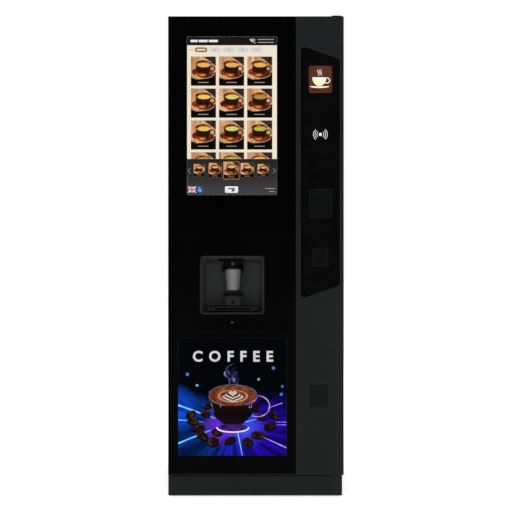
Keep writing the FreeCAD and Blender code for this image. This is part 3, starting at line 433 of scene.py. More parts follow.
wood_tile = lit(
    "tile wood", [(0.25, (134, 84, 50)), (0.5, (200, 150, 108)), (0.75, (236, 196, 156))], 60, 1, (1, 1, 0.12),
    0.75, 4,
)
dusk = lit("tile dusk", ((34, 24, 20), (62, 46, 40)), 60)
glass_brown, tree, shader = blank("amber glass", 0.3, gloss=0)
place = here(tree)
band = add(tree, "TexNoise", Vector=place, Scale=46, Detail=3).outputs["Fac"]
amber = ramp(tree, band, [(0.3, (46, 16, 6)), (0.5, (108, 46, 16)), (0.66, (186, 92, 34))])
light_up(tree, shader, amber, 1)
dark_brew = lit("dark brew", ((26, 9, 5), (54, 20, 9)), 120)
saucer_glaze = lit("saucer glaze", [(0.3, (44, 14, 6)), (0.55, (104, 40, 14)), (0.78, (190, 104, 54))], 44)
amber_brew = lit("amber brew", [(0.3, (132, 46, 12)), (0.6, (176, 74, 22)), (0.8, (206, 100, 36))], 90)
amber_glow = lit("amber glow", ((214, 116, 44), (240, 158, 76)), 120)
rim_light = lit("rim light", ((232, 184, 140), (250, 222, 190)), 200)
tile_foot = lit("tile foot", ((4, 3, 3), (12, 8, 7)), 90)
froths = {
    "caramel": ((214, 150, 66), (246, 198, 112)), "gold": ((222, 172, 60), (250, 214, 110)),
    "lime": ((188, 184, 70), (232, 226, 130)), "hazel": ((150, 104, 40), (206, 160, 84)),
    "green": ((140, 150, 44), (206, 206, 90)),
}
froth_paint = {k: lit("froth " + k, [(0.3, a), (0.7, b)], 160) for k, (a, b) in froths.items()}
ROW_TOPS, COLUMNS, TILE_W, TILE_H = (526.5, 405, 284), (14, 121, 228), 96, 111.5
order = ["caramel", "caramel", "caramel", "gold", "lime", "hazel", "gold", "lime", "green"]
tile_paint = {
    "wood": wood_tile, "dusk": dusk, "foot": tile_foot, "saucer": saucer_glaze, "glass": glass_brown,
    "amber": amber_brew, "glow": amber_glow, "brew": dark_brew, "rim": rim_light, "caption": caption,
}
sets = {name: [] for name in tile_paint}
froth_sets = {name: [] for name in froths}


def keep_tiles(prefix, froth_prefix):
    # Each set is one piece on the screen; the sets are then empty for the next tiles.
    for group, start, paints in ((sets, prefix, tile_paint), (froth_sets, froth_prefix, froth_paint)):
        for name in [name for name in paints if group[name]]:
            on_screen(group[name], start + name, paints[name])
            group[name] = []


def drink_tile(x, top, w, h, froth, n):
    # x and top are the tile's upper left corner in millimetres of the screen, and a place on
    # the tile is a share of its width from the left and of its height from the top.
    def spot(u, v):
        return sx + (x + u * w) / 1000, sz + (top - v * h) / 1000

    def patch(name, level, *places):
        sets[name].append(polygon([spot(u, v) for u, v in places], layer(n + level)))

    def disc(group, level, u, v, rx, rz, sides, turn=0):
        group.append(oval(*spot(u, v), rx * k, rz * k, layer(n + level), sides, turn))

    def line(name, level, u, v, rx, rz, a, b, steps, wide):
        sets[name].append(ribbon(arc(*spot(u, v), rx * k, rz * k, a, b, steps), wide * k, layer(n + level)))

    k = w / 1000
    (x0, z0), (x1, z1) = spot(0, 1), spot(1, 0)
    sets["wood"].append(card(x0, x1, z0, z1, layer(n), 0.03 * k))
    patch("dusk", 1, (0.52, 0.005), (0.99, 0.32), (0.99, 0.03), (0.97, 0.005))
    patch(
        "foot", 1, (0.005, 0.71), (0.22, 0.78), (0.45, 0.77), (0.72, 0.73), (0.995, 0.52), (0.995, 0.98),
        (0.98, 0.995), (0.02, 0.995), (0.005, 0.98),
    )
    disc(sets["saucer"], 2, 0.49, 0.56, 0.45, 0.2, 28, 0.12)
    line("rim", 3, 0.49, 0.565, 0.45, 0.21, 190, 350, 14, 0.012)
    patch(
        "glass", 4, (0.18, 0.21), (0.79, 0.24), (0.77, 0.46), (0.7, 0.62), (0.6, 0.69), (0.42, 0.7),
        (0.3, 0.64), (0.22, 0.5),
    )
    patch("amber", 6, (0.27, 0.56), (0.62, 0.58), (0.6, 0.66), (0.52, 0.695), (0.42, 0.695), (0.32, 0.65))
    disc(sets["glow"], 7, 0.45, 0.635, 0.09, 0.03, 16)
    line("glow", 3, 0.49, 0.56, 0.36, 0.16, 205, 243, 10, 0.05)
    line("brew", 4, 0.85, 0.41, 0.1, 0.1, -140, 145, 16, 0.045)
    patch(
        "brew", 5, (0.2, 0.33), (0.78, 0.33), (0.765, 0.47), (0.7, 0.6), (0.6, 0.68), (0.42, 0.69), (0.3, 0.63),
        (0.23, 0.5),
    )
    disc(sets["glass"], 6, 0.485, 0.235, 0.315, 0.135, 28)
    disc(froth_sets[froth], 7, 0.52, 0.29, 0.255, 0.092, 24)
    line("rim", 8, 0.485, 0.235, 0.315, 0.135, 20, 170, 14, 0.014)
    (x0, z0), (x1, z1) = spot(0.29, 0.895), spot(0.7, 0.875)
    sets["caption"].append(card(x0, x1, z0, z1, layer(n + 4)))


for i, froth in enumerate(order):
    drink_tile(COLUMNS[i % 3], ROW_TOPS[i // 3], TILE_W, TILE_H, froth, 1)
keep_tiles("tile_", "froth_")

# The fourth row is cut by the strip, so only the tops of its tiles show.
for x, froth in zip(COLUMNS, ("hazel", "green", "caramel")):
    w, top = TILE_W, 162.5
    sets["wood"].append(block(x, x + w, STRIP_TOP + 0.2, top, 1))
    x0, z0 = sx + x / 1000, sz + STRIP_TOP / 1000
    corner = [
        (x0 + 0.052, z0 + 0.0252), (x0 + 0.0955, z0 + 0.0252), (x0 + 0.0955, z0 + 0.0004),
        (x0 + 0.087, z0 + 0.0004),
    ]
    sets["dusk"].append(polygon(corner, layer(2)))
    bump = arc(x0 + 0.0466, z0 + 0.0004, 0.03, 0.0132, 0, 180, 16)
    sets["glass"].append(polygon(bump, layer(3)))
    inner = arc(x0 + 0.0486, z0 + 0.0003, 0.0245, 0.0078, 0, 180, 16)
    froth_sets[froth].append(polygon(inner, layer(4)))
keep_tiles("cut_tile_", "cut_froth_")

# ---- Strip of smaller tiles and the button row
# Five small tiles with the middle one framed, a chevron at each end, and below them a flag
# button, an access button and a white help button. Lines stand for the small print.

for x0, w, top in ((25, 42, 118), (81.5, 50, 122), (139, 58, 126), (203.5, 51, 122), (268, 43, 118)):
    drink_tile(x0, top, w, w * 1.12, "caramel", 2)
on_screen(froth_sets["caramel"], "small_froth", froth_paint["caramel"])
froth_sets["caramel"] = []
keep_tiles("small_", "")
on_screen(block(137.6, 198.4, 59.2, 127.4, 1, 1.5), "small_frame", orange)
chevrons = []
for x, way in ((8, -1), (331, 1)):
    tip = (sx + (x + 4 * way) / 1000, sz + 0.092)
    tail = sx + (x - 4 * way) / 1000
    chevrons.append(ribbon([(tail, sz + 0.101), tip, (tail, sz + 0.083)], 0.0016, layer(2)))
lines = [block(x0, x1, z0, z0 + 2.2, 2) for x0, x1, z0 in ((296, 334, 23.5), (312, 332, 12.5))]
on_screen(chevrons + lines, "strip_marks", caption)
on_screen(block(144, 194, 8, 33, 1, 4), "help_button", screen_white)
on_screen([block(156, 182, 22, 26, 2, 1), block(170, 180, 13.5, 21, 2, 2)], "help_mark", header)
on_screen(block(4, 33, 9, 32.5, 1), "flag_field", lit("flag blue", ((32, 44, 110), (40, 54, 124)), 90))
bars = [
    ribbon([(sx + 0.004, sz + 0.009), (sx + 0.033, sz + 0.0325)], 0.004, layer(2)),
    ribbon([(sx + 0.004, sz + 0.0325), (sx + 0.033, sz + 0.009)], 0.004, layer(2)),
]
bars += [block(14.5, 22.5, 9, 32.5, 3), block(4, 33, 17, 24.6, 3)]
on_screen(bars, "flag_white", screen_white)
on_screen(
    [block(16.3, 20.7, 9, 32.5, 4), block(4, 33, 18.7, 22.9, 4)], "flag_red",
    lit("flag red", ((196, 30, 40), (210, 40, 48)), 90),
)
on_screen(block(34.5, 62, 9, 32.5, 1), "access_field", lit("access blue", ((16, 84, 156), (24, 96, 168)), 90))
ax, az = sx + 0.047, sz + 0.0185
figure = [
    ribbon(arc(ax, az, 0.0052, 0.0052, 150, 400, 16), 0.0014, layer(2)),
    oval(ax - 0.0012, az + 0.0105, 0.0016, 0.0016, layer(2), 14),
]
figure.append(ribbon(
    [(ax - 0.0008, az + 0.0078), (ax, az + 0.001), (ax + 0.0042, az + 0.001), (ax + 0.0066, az - 0.005)],
    0.0014, layer(2),
))
on_screen(figure, "access_mark", screen_white)
title = [block(x0, x1, 581, 590, 1, 1.2) for x0, x1 in ((13, 40), (44, 78), (82, 117))]
signal = [ribbon(arc(sx + 0.249, sz + 0.578, r, r, 45, 135, 10), 0.0018, layer(1)) for r in (0.006, 0.0105, 0.015)]
signal.append(ribbon([(sx + 0.238, sz + 0.593), (sx + 0.26, sz + 0.576)], 0.0018, layer(2)))
notes = [block(x0, x1, z0, z0 + 2.6, 1) for x0, x1, z0 in ((268, 330, 590), (268, 330, 579))]
on_screen(title + signal, "header_marks", screen_white)
on_screen(notes, "header_notes", caption)

# ---- Lit poster
# A backlit picture behind a clear window in the lower pane: a glass of coffee on a glowing
# ring, blue light running in from the left and violet from the right, and beans round it.

low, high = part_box("poster_lightbox")
px0, pz0, py = low.x + EDGE, low.z + EDGE, low.y
poster_w, poster_h = high.x - EDGE - px0, high.z - EDGE - pz0


def at(u, v):
    # Millimetres from the poster's lower left corner.
    return px0 + u / 1000, pz0 + v / 1000


def on(n):
    return layer(n, py)


def on_poster(pieces, name, finish):
    keep(pieces, "poster_" + name, finish, "door")


night, tree, shader = blank("poster night", 0.3, gloss=0)
place = here(tree)
split = add(tree, "SeparateXYZ", Vector=place)
across, up = split.outputs["X"], split.outputs["Z"]


def worked(kind, operation, result, *values):
    # A maths node with its inputs filled in order.
    made = add(tree, kind, {"operation": operation})
    for value, socket in zip(values, made.inputs):
        feed(tree, value, socket)
    return made.outputs[result]


def blended(amount, under, over):
    made = add(tree, "Mix", {"data_type": "RGBA", "blend_type": "MIX"})
    for value, socket in ((amount, 0), (under, 6), (over, 7)):
        feed(tree, value, made.inputs[socket])
    return made.outputs[2]


def halo(under, tone, u, v, inner, outer, most):
    # Mixes a soft round pool of light into a picture's colour.
    away = worked("VectorMath", "SUBTRACT", "Vector", place, (at(u, v)[0], py, at(u, v)[1]))
    apart = worked("VectorMath", "LENGTH", "Value", away)
    return blended(between(tree, apart, most, 0, inner, outer), under, tint(*tone))


cx, cz = at(207, 112)
dx, dz = worked("Math", "SUBTRACT", "Value", across, cx), worked("Math", "SUBTRACT", "Value", up, cz)
bearing = add(tree, "CombineXYZ", X=dx, Y=dz, Z=0).outputs["Vector"]
unit = worked("VectorMath", "NORMALIZE", "Vector", bearing)
fan_light = add(tree, "TexNoise", Vector=unit, Scale=5.5, Detail=6, Roughness=0.7).outputs["Fac"]
fade = between(tree, worked("VectorMath", "LENGTH", "Value", bearing), 1, 0.12, 0.02, 0.27)
ground = between(tree, up, 1, 0, pz0 + 0.155, pz0 + 0.245)
side = between(tree, across, 0, 1, px0 + 0.1, px0 + 0.31)
hue = ramp(tree, side, [(0, (10, 92, 224)), (0.45, (40, 44, 240)), (1, (58, 10, 240))])
power = worked("Math", "MULTIPLY", "Value", between(tree, fan_light, 0.05, 1, 0.42, 0.66), ground)
floor_glow = between(tree, up, 0.05, 0, pz0 + 0.02, pz0 + 0.25)
total = worked("Math", "MULTIPLY_ADD", "Value", power, fade, floor_glow)
lit_floor = halo(blended(total, tint(1, 2, 5), hue), (16, 96, 255), -14, 176, 0, 0.1, 0.92)
lit_floor = halo(lit_floor, (124, 46, 250), 158, 104, 0.01, 0.075, 0.66)
lit_floor = halo(lit_floor, (70, 84, 255), 262, 106, 0.01, 0.08, 0.7)
light_up(tree, shader, lit_floor, 1)
on_poster(card(px0 + 0.0003, px0 + poster_w - 0.0003, pz0 + 0.0003, pz0 + poster_h - 0.0003, on(0)), "night", night)

# Broad beams that run out from the ring, brighter at their cores.
blue_beam = lit("blue beam", ((20, 120, 250), (70, 190, 255)), 30, 0.9)
blue_core = lit("blue core", ((120, 220, 255), (190, 244, 255)), 60, 1)
violet_beam = lit("violet beam", ((84, 40, 250), (120, 84, 255)), 30, 0.9)
violet_core = lit("violet core", ((190, 140, 255), (226, 196, 255)), 60, 1)
deep_blue = lit("deep blue", ((8, 52, 170), (14, 74, 210)), 20, 0.7)
wash = [
    polygon([at(0.5, 222), at(0.5, 170), at(96, 146)], on(1)),
    polygon([at(0.5, 44), at(0.5, 30), at(120, 96)], on(1)),
]
on_poster(wash, "wash", deep_blue)


def beams(kind, outer, core, runs):
    # Each beam tapers away from its start and has a brighter core.
    for name, finish, n, thick, thin in (("beams", outer, 2, 1000, 2500), ("cores", core, 3, 2600, 6000)):
        strokes = [ribbon([at(*a), at(*b)], [wide / thick, wide / thin], on(n)) for a, b, wide in runs]
        on_poster(strokes, "%s_%s" % (kind, name), finish)


blue_runs = [((0.5, 192), (140, 142), 9), ((0.5, 136), (96, 128), 4), ((0.5, 47), (124, 97), 8)]
blue_runs += [((225, 98), (244, 0.5), 6), ((255, 128), (296, 138), 4)]
beams("blue", blue_beam, blue_core, blue_runs)
violet_runs = [((411.5, 127), (372, 127), 4), ((411.5, 117), (366, 117), 4)]
violet_runs += [((411.5, 30), (320, 72), 7), ((396, 200), (340, 180), 5)]
beams("violet", violet_beam, violet_core, violet_runs)
spokes = []
for i in range(30):
    turn = radians(195 + 150 * i / 29)
    far = 34 + 22 * ((i * 7) % 5) / 4
    root = at(208 + 56 * cos(turn), 108 + 20 * sin(turn))
    tip = at(208 + (56 + far) * cos(turn), 108 + (20 + far * 0.8) * sin(turn))
    spokes.append(ribbon([root, tip], [0.002, 0.0003], on(2)))
on_poster(spokes, "spokes", violet_beam)

# The glass: dark body, base ring, coffee with a poured leaf, rim and handle.
body_paint, tree, shader = blank("poster glass body", 0.3, gloss=0)
place = here(tree)
split = add(tree, "SeparateXYZ", Vector=place)
climb = between(tree, split.outputs["Z"], 0, 1, at(0, 112)[1], at(0, 214)[1])
brew_tone = ramp(
    tree, climb,
    [(0, (84, 36, 130)), (0.09, (24, 8, 26)), (0.45, (13, 4, 3)), (0.85, (32, 11, 5)), (1, (110, 50, 22))],
)
light_up(tree, shader, brew_tone, 1)
half = ((89, 214), (87, 196), (82, 176), (72, 156), (58, 138), (40, 123), (20, 114), (0, 111))
outline = [at(208 - u, v) for u, v in half] + [at(208 + u, v) for u, v in half[-2::-1]]
on_poster(
    oval(*at(208, 107), 0.0545, 0.015, on(5), 40), "glass_foot",
    lit("poster foot", ((30, 12, 60), (70, 36, 130)), 60),
)
on_poster(polygon(outline, on(6)), "glass_body", body_paint)
u, v = at(208, 229)
on_poster(
    oval(u, v, 0.0935, 0.0405, on(7), 64), "glass_lip",
    lit("poster rim", ((96, 54, 60), (150, 92, 84)), 60, 0.5),
)
crema = lit("poster crema", [(0.3, (104, 44, 18)), (0.6, (176, 88, 44)), (0.8, (214, 126, 78))], 44, 0.6)
on_poster(oval(u, at(0, 228)[1], 0.0865, 0.0362, on(8), 64), "crema", crema)
milk = lit("poster milk", ((236, 206, 190), (252, 234, 224)), 70, 0.7)
swirl = lit("poster swirl", ((214, 150, 122), (236, 184, 160)), 70, 0.6)
on_poster(oval(u, at(0, 226)[1], 0.058, 0.0245, on(9), 48), "pour_ring", swirl)
cocoa = lit("poster cocoa", ((84, 30, 14), (110, 44, 22)), 70, 0.5)
on_poster(oval(u, at(0, 227.5)[1], 0.0495, 0.0205, on(10), 48), "pour_gap", crema)


def leaf(x, z, w, h, y):
    # A rounded heart, the shape that a pour of milk leaves.
    points = []
    for i in range(28):
        t = 2 * pi * i / 28
        points.append((
            x + w * sin(t) ** 3,
            z + h * (0.81 * cos(t) - 0.31 * cos(2 * t) - 0.12 * cos(3 * t) - 0.06 * cos(4 * t)),
        ))
    return polygon(points, y)


for k, (z, w, h) in enumerate(((219.5, 0.04, 0.0165), (227.5, 0.029, 0.0135), (237, 0.0165, 0.012))):
    x, zz = at(208, z)
    on_poster(leaf(x, zz, w, h, on(11 + 2 * k)), "leaf_%d" % k, milk)
    if k < 2:
        on_poster(leaf(x, zz + 0.0035, w * 0.8, h * 0.86, on(12 + 2 * k)), "leaf_line_%d" % k, cocoa)
shine = [
    ribbon(arc(u, v, 0.0935, 0.0405, 15, 165, 30), 0.0013, on(9)),
    ribbon(arc(u, v, 0.0925, 0.0405, 185, 250, 16), 0.0012, on(9)),
]
shine += [
    ribbon([at(126, 200), at(131, 178), at(137, 162)], [0.0022, 0.0018, 0.0006], on(8)),
    ribbon([at(161, 202), at(162, 184)], 0.0035, on(7)),
]
on_poster(shine, "glass_shine", lit("poster shine", ((120, 140, 220), (190, 200, 240)), 60, 0.6))
glint = [
    ribbon([at(272, 204), at(270, 182), at(277, 182), at(282, 206)], 0.0016, on(8)),
    ribbon(arc(*at(208, 229), 0.0935, 0.0405, -60, 0, 16), 0.003, on(9)),
]
handle = arc(*at(302, 188), 0.046, 0.04, -118, 108, 26)
glint.append(ribbon(handle, 0.0042, on(5)))
on_poster(
    glint, "handle",
    lit("poster violet glass", [(0.3, (92, 60, 200)), (0.5, (150, 110, 230)), (0.7, (220, 196, 250))], 40, 0.8),
)
on_poster(ribbon(handle[2:24], 0.0012, on(6)), "handle_shine", milk)
base_ring = arc(*at(208, 106), 0.06, 0.0165, 172, 368, 40)
on_poster(
    ribbon(base_ring, 0.0058, on(8)), "ring",
    lit("poster ring", [(0.35, (120, 190, 255)), (0.55, (200, 150, 255)), (0.7, (240, 170, 250))], 12, 1.2),
)
on_poster(
    ribbon(base_ring, 0.0026, on(9)), "ring_core",
    lit("poster ring core", ((236, 226, 255), (255, 250, 255)), 40, 1.2),
)

# Beans: each one a brown oval with a crease and a soft shadow under it.
bean_coat = lit("bean coat", [(0.32, (14, 6, 5)), (0.55, (42, 20, 15)), (0.78, (104, 62, 50))], 60, 1)
bean_dark = lit("bean crease", ((12, 5, 4), (24, 10, 8)), 90, 0.4)
beans, creases, shadows = [], [], []
spots = (
    (49, 159, 20, 12), (104, 160, 20, 11), (57, 133, 22, 12), (78, 106, 23, 12), (93, 77, 25, 14),
    (148, 90, 21, 12), (135, 54, 21, 17), (198, 59, 24, 12),
    (266, 53, 21, 16), (305, 80, 27, 14), (350, 115, 24, 14), (362, 155, 22, 11), (318, 147, 18, 10),
    (112, 190, 14, 10), (300, 176, 13, 8),
)
for i, (bu, bv, rx, rz) in enumerate(spots):
    x, z = at(bu, bv)
    turn = -0.35 + 0.14 * ((i * 5) % 7)
    shadows.append(oval(x, z - 0.006, rx / 1000 * 1.05, rz / 1000, on(3), 20, turn))
    beans.append(oval(x, z, rx / 1000, rz / 1000, on(4), 24, turn))
    r = rx / 1000 * 0.86
    along = (-1, -0.6, -0.2, 0.2, 0.6, 1)
    bend = [(x + r * t * cos(turn), z - r * t * sin(turn) + 0.0016 * sin(3.1 * t)) for t in along]
    creases.append(ribbon(bend, [0.0004, 0.0016, 0.0022, 0.0022, 0.0016, 0.0004], on(5)))
on_poster(beans, "beans", bean_coat)
on_poster(creases + shadows, "bean_shadows", bean_dark)

# Steam, sparks, and a plain heading over the picture.
mist = lit("poster steam", [(0.38, (8, 8, 20)), (0.56, (58, 60, 104)), (0.74, (150, 152, 200))], 46, 1)
wisps = []
for x0, z0, h, sway in (
    (192, 264, 66, 16), (206, 262, 90, 24), (221, 266, 74, 20), (201, 268, 50, -18), (214, 264, 60, -9),
):
    pts = [at(x0 + sway * sin(i * 0.55) * i / 9, z0 + h * i / 12) for i in range(13)]
    wisps.append(ribbon(pts, [0.001 + 0.0085 * sin(pi * i / 12) for i in range(13)], on(4)))
on_poster(wisps, "steam", mist)
for name, finish, places in (
    (
        "sparks", lit("spark blue", ((44, 104, 220), (90, 160, 240)), 120, 0.8),
        ((35, 309, 6.6), (362, 333, 6.2), (396, 263, 5), (392, 233, 6)),
    ),
    (
        "pale_sparks", lit("spark pale", ((120, 200, 226), (160, 226, 240)), 120, 0.8),
        ((72, 267, 4.8), (306, 290, 4.8)),
    ),
):
    on_poster([oval(*at(u, v), r / 1000, r / 1000, on(4), 16) for u, v, r in places], name, finish)
pick()
bpy.ops.object.text_add(location=(px0 + poster_w / 2 + 0.002, on(5), at(0, 359)[1]), rotation=(pi / 2, 0, 0))
heading = bpy.context.object
heading.data.body = "COFFEE"
heading.data.align_x = "CENTER"
heading.data.size = 0.055
heading.data.extrude = FILM / 2
heading.data.offset = 0.0016
heading.data.space_character = 1.84
heading.data.resolution_u = 4
bpy.ops.object.convert(target="MESH")
on_poster(bpy.context.object, "heading", lit("poster white", ((240, 240, 240), (255, 255, 255)), 40, 0.7))

# ---- Printed plate and contactless mark
# The brown plate is a printed film on a thin board: a cream cup with steam on a saucer, and
# beans below it. The contactless mark is silk-screened on the panel over the reader.

low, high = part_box("pictogram_plate")
film_y = low.y
plate_brown = surface("plate brown", (66, 36, 23), (78, 43, 28), (0.35, 0.45), 30, 900, 0.05, gloss=0.12)
dress(plate_brown, "pictogram_plate")
plate_cream = lit("plate cream", ((222, 206, 176), (234, 220, 194)), 90, 0)
plate_bean = lit("plate bean", ((46, 20, 13), (92, 48, 34)), 160, 0)
cx, cz = (low.x + high.x) / 2, (low.z + high.z) / 2
MM = 0.001


def print_y(n):
    return film_y - 0.00012 - n * LAYER


def plate_arc(u, v, rx, rz, a, b, steps):
    # An arc in millimetres from the middle of the plate.
    return arc(cx + u * MM, cz + v * MM, rx * MM, rz * MM, a, b, steps)


marks = [polygon(plate_arc(-4, 8, 27, 33, 180, 360, 24), print_y(0))]
marks.append(ribbon(plate_arc(23, -4, 12, 10, -112, 105, 16), 4 * MM, print_y(0)))
marks.append(polygon(plate_arc(-3, -26, 37, 7, 180, 360, 20), print_y(1)))
for k in (-9, -3, 3):
    wave = [(cx + (k + 2.2 * sin(i * 0.7)) * MM, cz + (14 + 2.7 * i) * MM) for i in range(10)]
    swell = [(0.5 + 1.9 * sin(pi * (i + 0.5) / 10)) * MM for i in range(10)]
    marks.append(ribbon(wave, swell, print_y(0)))
keep(marks, "plate_cup", plate_cream, "door")
pile, lines = [], []
bean_places = [(-30, -37, 0.3), (-16, -38, -0.5), (0, -38, 0.2), (14, -38, 0.8), (30, -37, -0.3), (-22, -43, -0.2)]
for i, (u, v, t) in enumerate(bean_places + [(-6, -44, 0.6), (8, -44, -0.4), (20, -43, 0.3)]):
    x, z = cx + u * MM, cz + v * MM
    pile.append(oval(x, z, 6.2 * MM, 4.2 * MM, print_y(1 + i % 2), 18, t))
    du, dv = 5 * cos(t) * MM, 5 * sin(t) * MM
    lines.append(ribbon([(x - du, z + dv), (x + du, z - dv)], 0.7 * MM, print_y(3)))
keep(pile, "plate_beans", plate_bean, "door")
keep(lines, "plate_bean_lines", plate_brown, "door")

low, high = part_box("payment_panel")
reader_low, reader_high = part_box("card_reader")
mark_x, mark_z = (reader_low.x + reader_high.x) / 2, (reader_low.z + reader_high.z) / 2
mark_y = low.y - 0.00012
waves = [oval(mark_x, mark_z, 6 * MM, 6 * MM, mark_y, 24)]
for r in (13.5, 20, 26.5):
    for turn in (0, 180):
        waves.append(ribbon(arc(mark_x, mark_z, r * MM, r * MM, turn - 46, turn + 46, 14), 1.8 * MM, mark_y))
keep(waves, "contactless_mark", lit("mark white", ((206, 206, 206), (226, 226, 226)), 200, 0), "door")


def frame_line(node, width, y, name, finish, body):
    # A fine raised line just inside the edge of a plate.
    a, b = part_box(node)
    w = width / 2
    path = [(a.x + w, a.z + w), (b.x - w, a.z + w), (b.x - w, b.z - w), (a.x + w, b.z - w)]
    keep(ribbon(path, width, y, True, 0.0004), name, finish, body)


# The lines round the slot plates and the coin flap are a lighter grey than the plates: a painted highlight where
# their edges catch light, drawn on all four sides.
plate_edge_highlight = surface("plate edge highlight", (22, 24, 23), (28, 30, 29), (0.4, 0.5), 30, 900, 0.05, gloss=0.15)
for node in ("note_slot_cover", "coin_slot_cover"):
    a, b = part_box(node)
    frame_line(node, 1.6 * MM, a.y - 0.0004, node + "_edge", plate_edge_highlight, "door")
a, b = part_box("coin_return_flap")
frame_line("coin_return_flap", 1.4 * MM, a.y - 0.0001, "coin_flap_edge", plate_edge_highlight, "coin_flap")

# ---- Joints of the front
# A dark line of sealant shows between the bonded panes.

sealant = surface("pane sealant", (6, 6, 7), (12, 12, 13), (0.6, 0.7), 60, 900, 0.1, gloss=0.05)
high_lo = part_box("upper_glass")[0]
mid_lo, mid_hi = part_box("middle_glass")
low_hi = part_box("lower_glass")[1]
beads = []
for z0, z1 in ((mid_hi.z, high_lo.z), (low_hi.z, mid_lo.z)):
    beads.append(card(mid_lo.x + 0.0005, mid_hi.x, z0, z1, mid_lo.y + 0.0008, depth=0.004))
keep(beads, "pane_sealant", sealant, "door")

# ---- Outlet head and cup
# The outlet head is a black moulding with a dulled steel sleeve in front and four short outlets underneath. The cup
# hangs from its rolled rim on the head's two rails.


def turned(profile, x, y, z, axis="Z", steps=40, smooth=35):
    # Spins an outline of (radius, height) pairs about a line through x, y, z.
    way = (0, 0, 1) if axis == "Z" else (0, 1, 0)
    verts = [(x + r, y + h * way[1], z + h * way[2]) for r, h in profile]
    piece = drawn(verts, [(i, i + 1) for i in range(len(verts) - 1)])
    whole_turn = {"steps": steps, "angle": 2 * pi, "center": (x, y, z), "axis": way}
    in_edit((bpy.ops.mesh.spin, whole_turn), (bpy.ops.mesh.remove_doubles, {"threshold": 0.000002}), outwards)
    bpy.ops.object.shade_smooth_by_angle(angle=radians(smooth))
    return piece


def brick(x0, x1, y0, y1, z0, z1, soft=0, steps=2):
    pick()
    bpy.ops.mesh.primitive_cube_add(size=1, location=((x0 + x1) / 2, (y0 + y1) / 2, (z0 + z1) / 2))
    bpy.context.object.scale = (x1 - x0, y1 - y0, z1 - z0)
    settle()
    if soft:
        in_edit((bpy.ops.mesh.bevel, {"offset": soft, "segments": steps, "affect": "EDGES"}))
        bpy.ops.object.shade_smooth_by_angle(angle=radians(40))
    return bpy.context.object


low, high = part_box("paper_cup")
cup_x, cup_y, cup_z = (low.x + high.x) / 2, (low.y + high.y) / 2, low.z
rim_r, cup_h = (high.x - low.x) / 2, high.z - low.z
foot_r, mouth_r, wall, curl = 0.0255, 0.0325, 0.0007, 0.00135
outline = [
    (0, 0.005), (foot_r - 0.0022, 0.005), (foot_r - 0.0014, 0.0044), (foot_r - 0.001, 0.0004),
    (foot_r - 0.0004, 0), (foot_r, 0.0006),
]
outline += [(foot_r + (mouth_r - foot_r) * t, 0.0006 + (cup_h - 0.0036) * t) for t in (0.12, 0.3, 0.5, 0.7, 0.85, 1)]
for k in range(9):
    turn = radians(-60 + 32 * k)
    outline.append((rim_r - curl + curl * cos(turn), cup_h - curl + curl * sin(turn)))
outline += [(mouth_r - wall, cup_h - 0.0032), (foot_r - wall, 0.0068), (0, 0.0062)]
paper_cup = turned(outline, cup_x, cup_y, cup_z, steps=64)
keep(paper_cup, "board_cup", shaded_board, "paper_cup")
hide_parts("paper_cup")

pit_black = surface("matt black moulding", (3, 3, 3), (6, 6, 6), (0.55, 0.65), 14, 1400, 0.1, gloss=0.05)
rim_plastic = surface("bay rim plastic", (33, 34, 35), (39, 40, 41), (0.45, 0.55), 16, 1100, 0.1, gloss=0.12)
dress(pit_black, "spout_head")
low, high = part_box("spout_head")
sleeve = [
    (0, -0.0128), (0.0074, -0.0128), (0.0088, -0.0118), (0.009, -0.0105), (0.009, 0), (0.0082, 0.0012),
    (0, 0.0012),
]
outlet_steel = surface("dulled outlet steel", (52, 52, 53), (66, 66, 68), (0.32, 0.42), 40, 1500, 0.02, metal=0.6)
keep(turned(sleeve, cup_x, -0.281, 0.8925), "outlet_sleeve", outlet_steel, "cabinet")
outlets = [turned(
    [(0.0024, 0), (0.0032, 0), (0.0032, 0.009), (0.0024, 0.009), (0.0024, 0)], cup_x + dx, cup_y, 0.8575,
    steps=16,
) for dx in (-0.015, -0.005, 0.005, 0.015)]
keep(outlets, "outlet_tubes", polished, "cabinet")
hood = [brick(low.x + 0.004, high.x - 0.004, -0.2858, -0.285, 0.8952, 0.9008, 0.0003)]
hood += [brick(
    cup_x + s * 0.0345 - 0.0012, cup_x + s * 0.0345 + 0.0012, -0.2812, -0.28, 0.852, 0.868, 0.0004,
) for s in (-1, 1)]
keep(hood, "outlet_trim", pit_black, "cabinet")

# ---- Light, step and tray in the cup bay
# A strip light under the front edge of the bay's roof, a raised line around the back wall,
# and a steel button on the step that feels whether a cup stands there.

low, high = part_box("cup_bay_liner")
keep(
    brick(cup_x - 0.085, cup_x + 0.085, -0.2985, -0.2955, 0.9068, 0.9092, 0.0005), "bay_light", lens, "cabinet",
)
back_y = high.y - 0.003
line_grey = surface("bay line", (34, 35, 36), (42, 43, 44), (0.35, 0.45), 30, 900, 0.05, gloss=0.15)
frame_path = [(-0.1955, 0.7065), (0.0135, 0.7065), (0.0135, 0.8865), (-0.1955, 0.8865)]
keep(ribbon(frame_path, 0.0016, back_y - 0.0008, True, 0.0007), "bay_back_line", line_grey, "cabinet")
dress(rim_plastic, "cup_platform", "bay_rim", "drip_tray")
keep(
    brick(-0.1285, -0.0505, -0.2873, -0.215, 0.759, 0.7674, 0.0015), "step_top", pit_black, "cabinet",
)
button = turned([(0, 0), (0.0062, 0), (0.006, 0.0016), (0.0042, 0.003), (0, 0.0036)], -0.098, -0.262, 0.771, steps=28)
keep(button, "step_button", outlet_steel, "cabinet")
keep(
    turned([(0.0032, 0), (0.0052, 0), (0.0052, 0.0008), (0.0036, 0.001), (0.0032, 0)], -0.09, -0.285, 0.735, "Y", 24),
    "step_eyelet", pit_black, "cabinet",
)
ribs = [brick(
    -0.122 + 0.0085 * i, -0.1185 + 0.0085 * i, -0.283, -0.22, 0.7668, 0.7678, 0.0003,
) for i in range(8) if i not in (2, 3)]
keep(ribs, "step_ribs", pit_black, "cabinet")
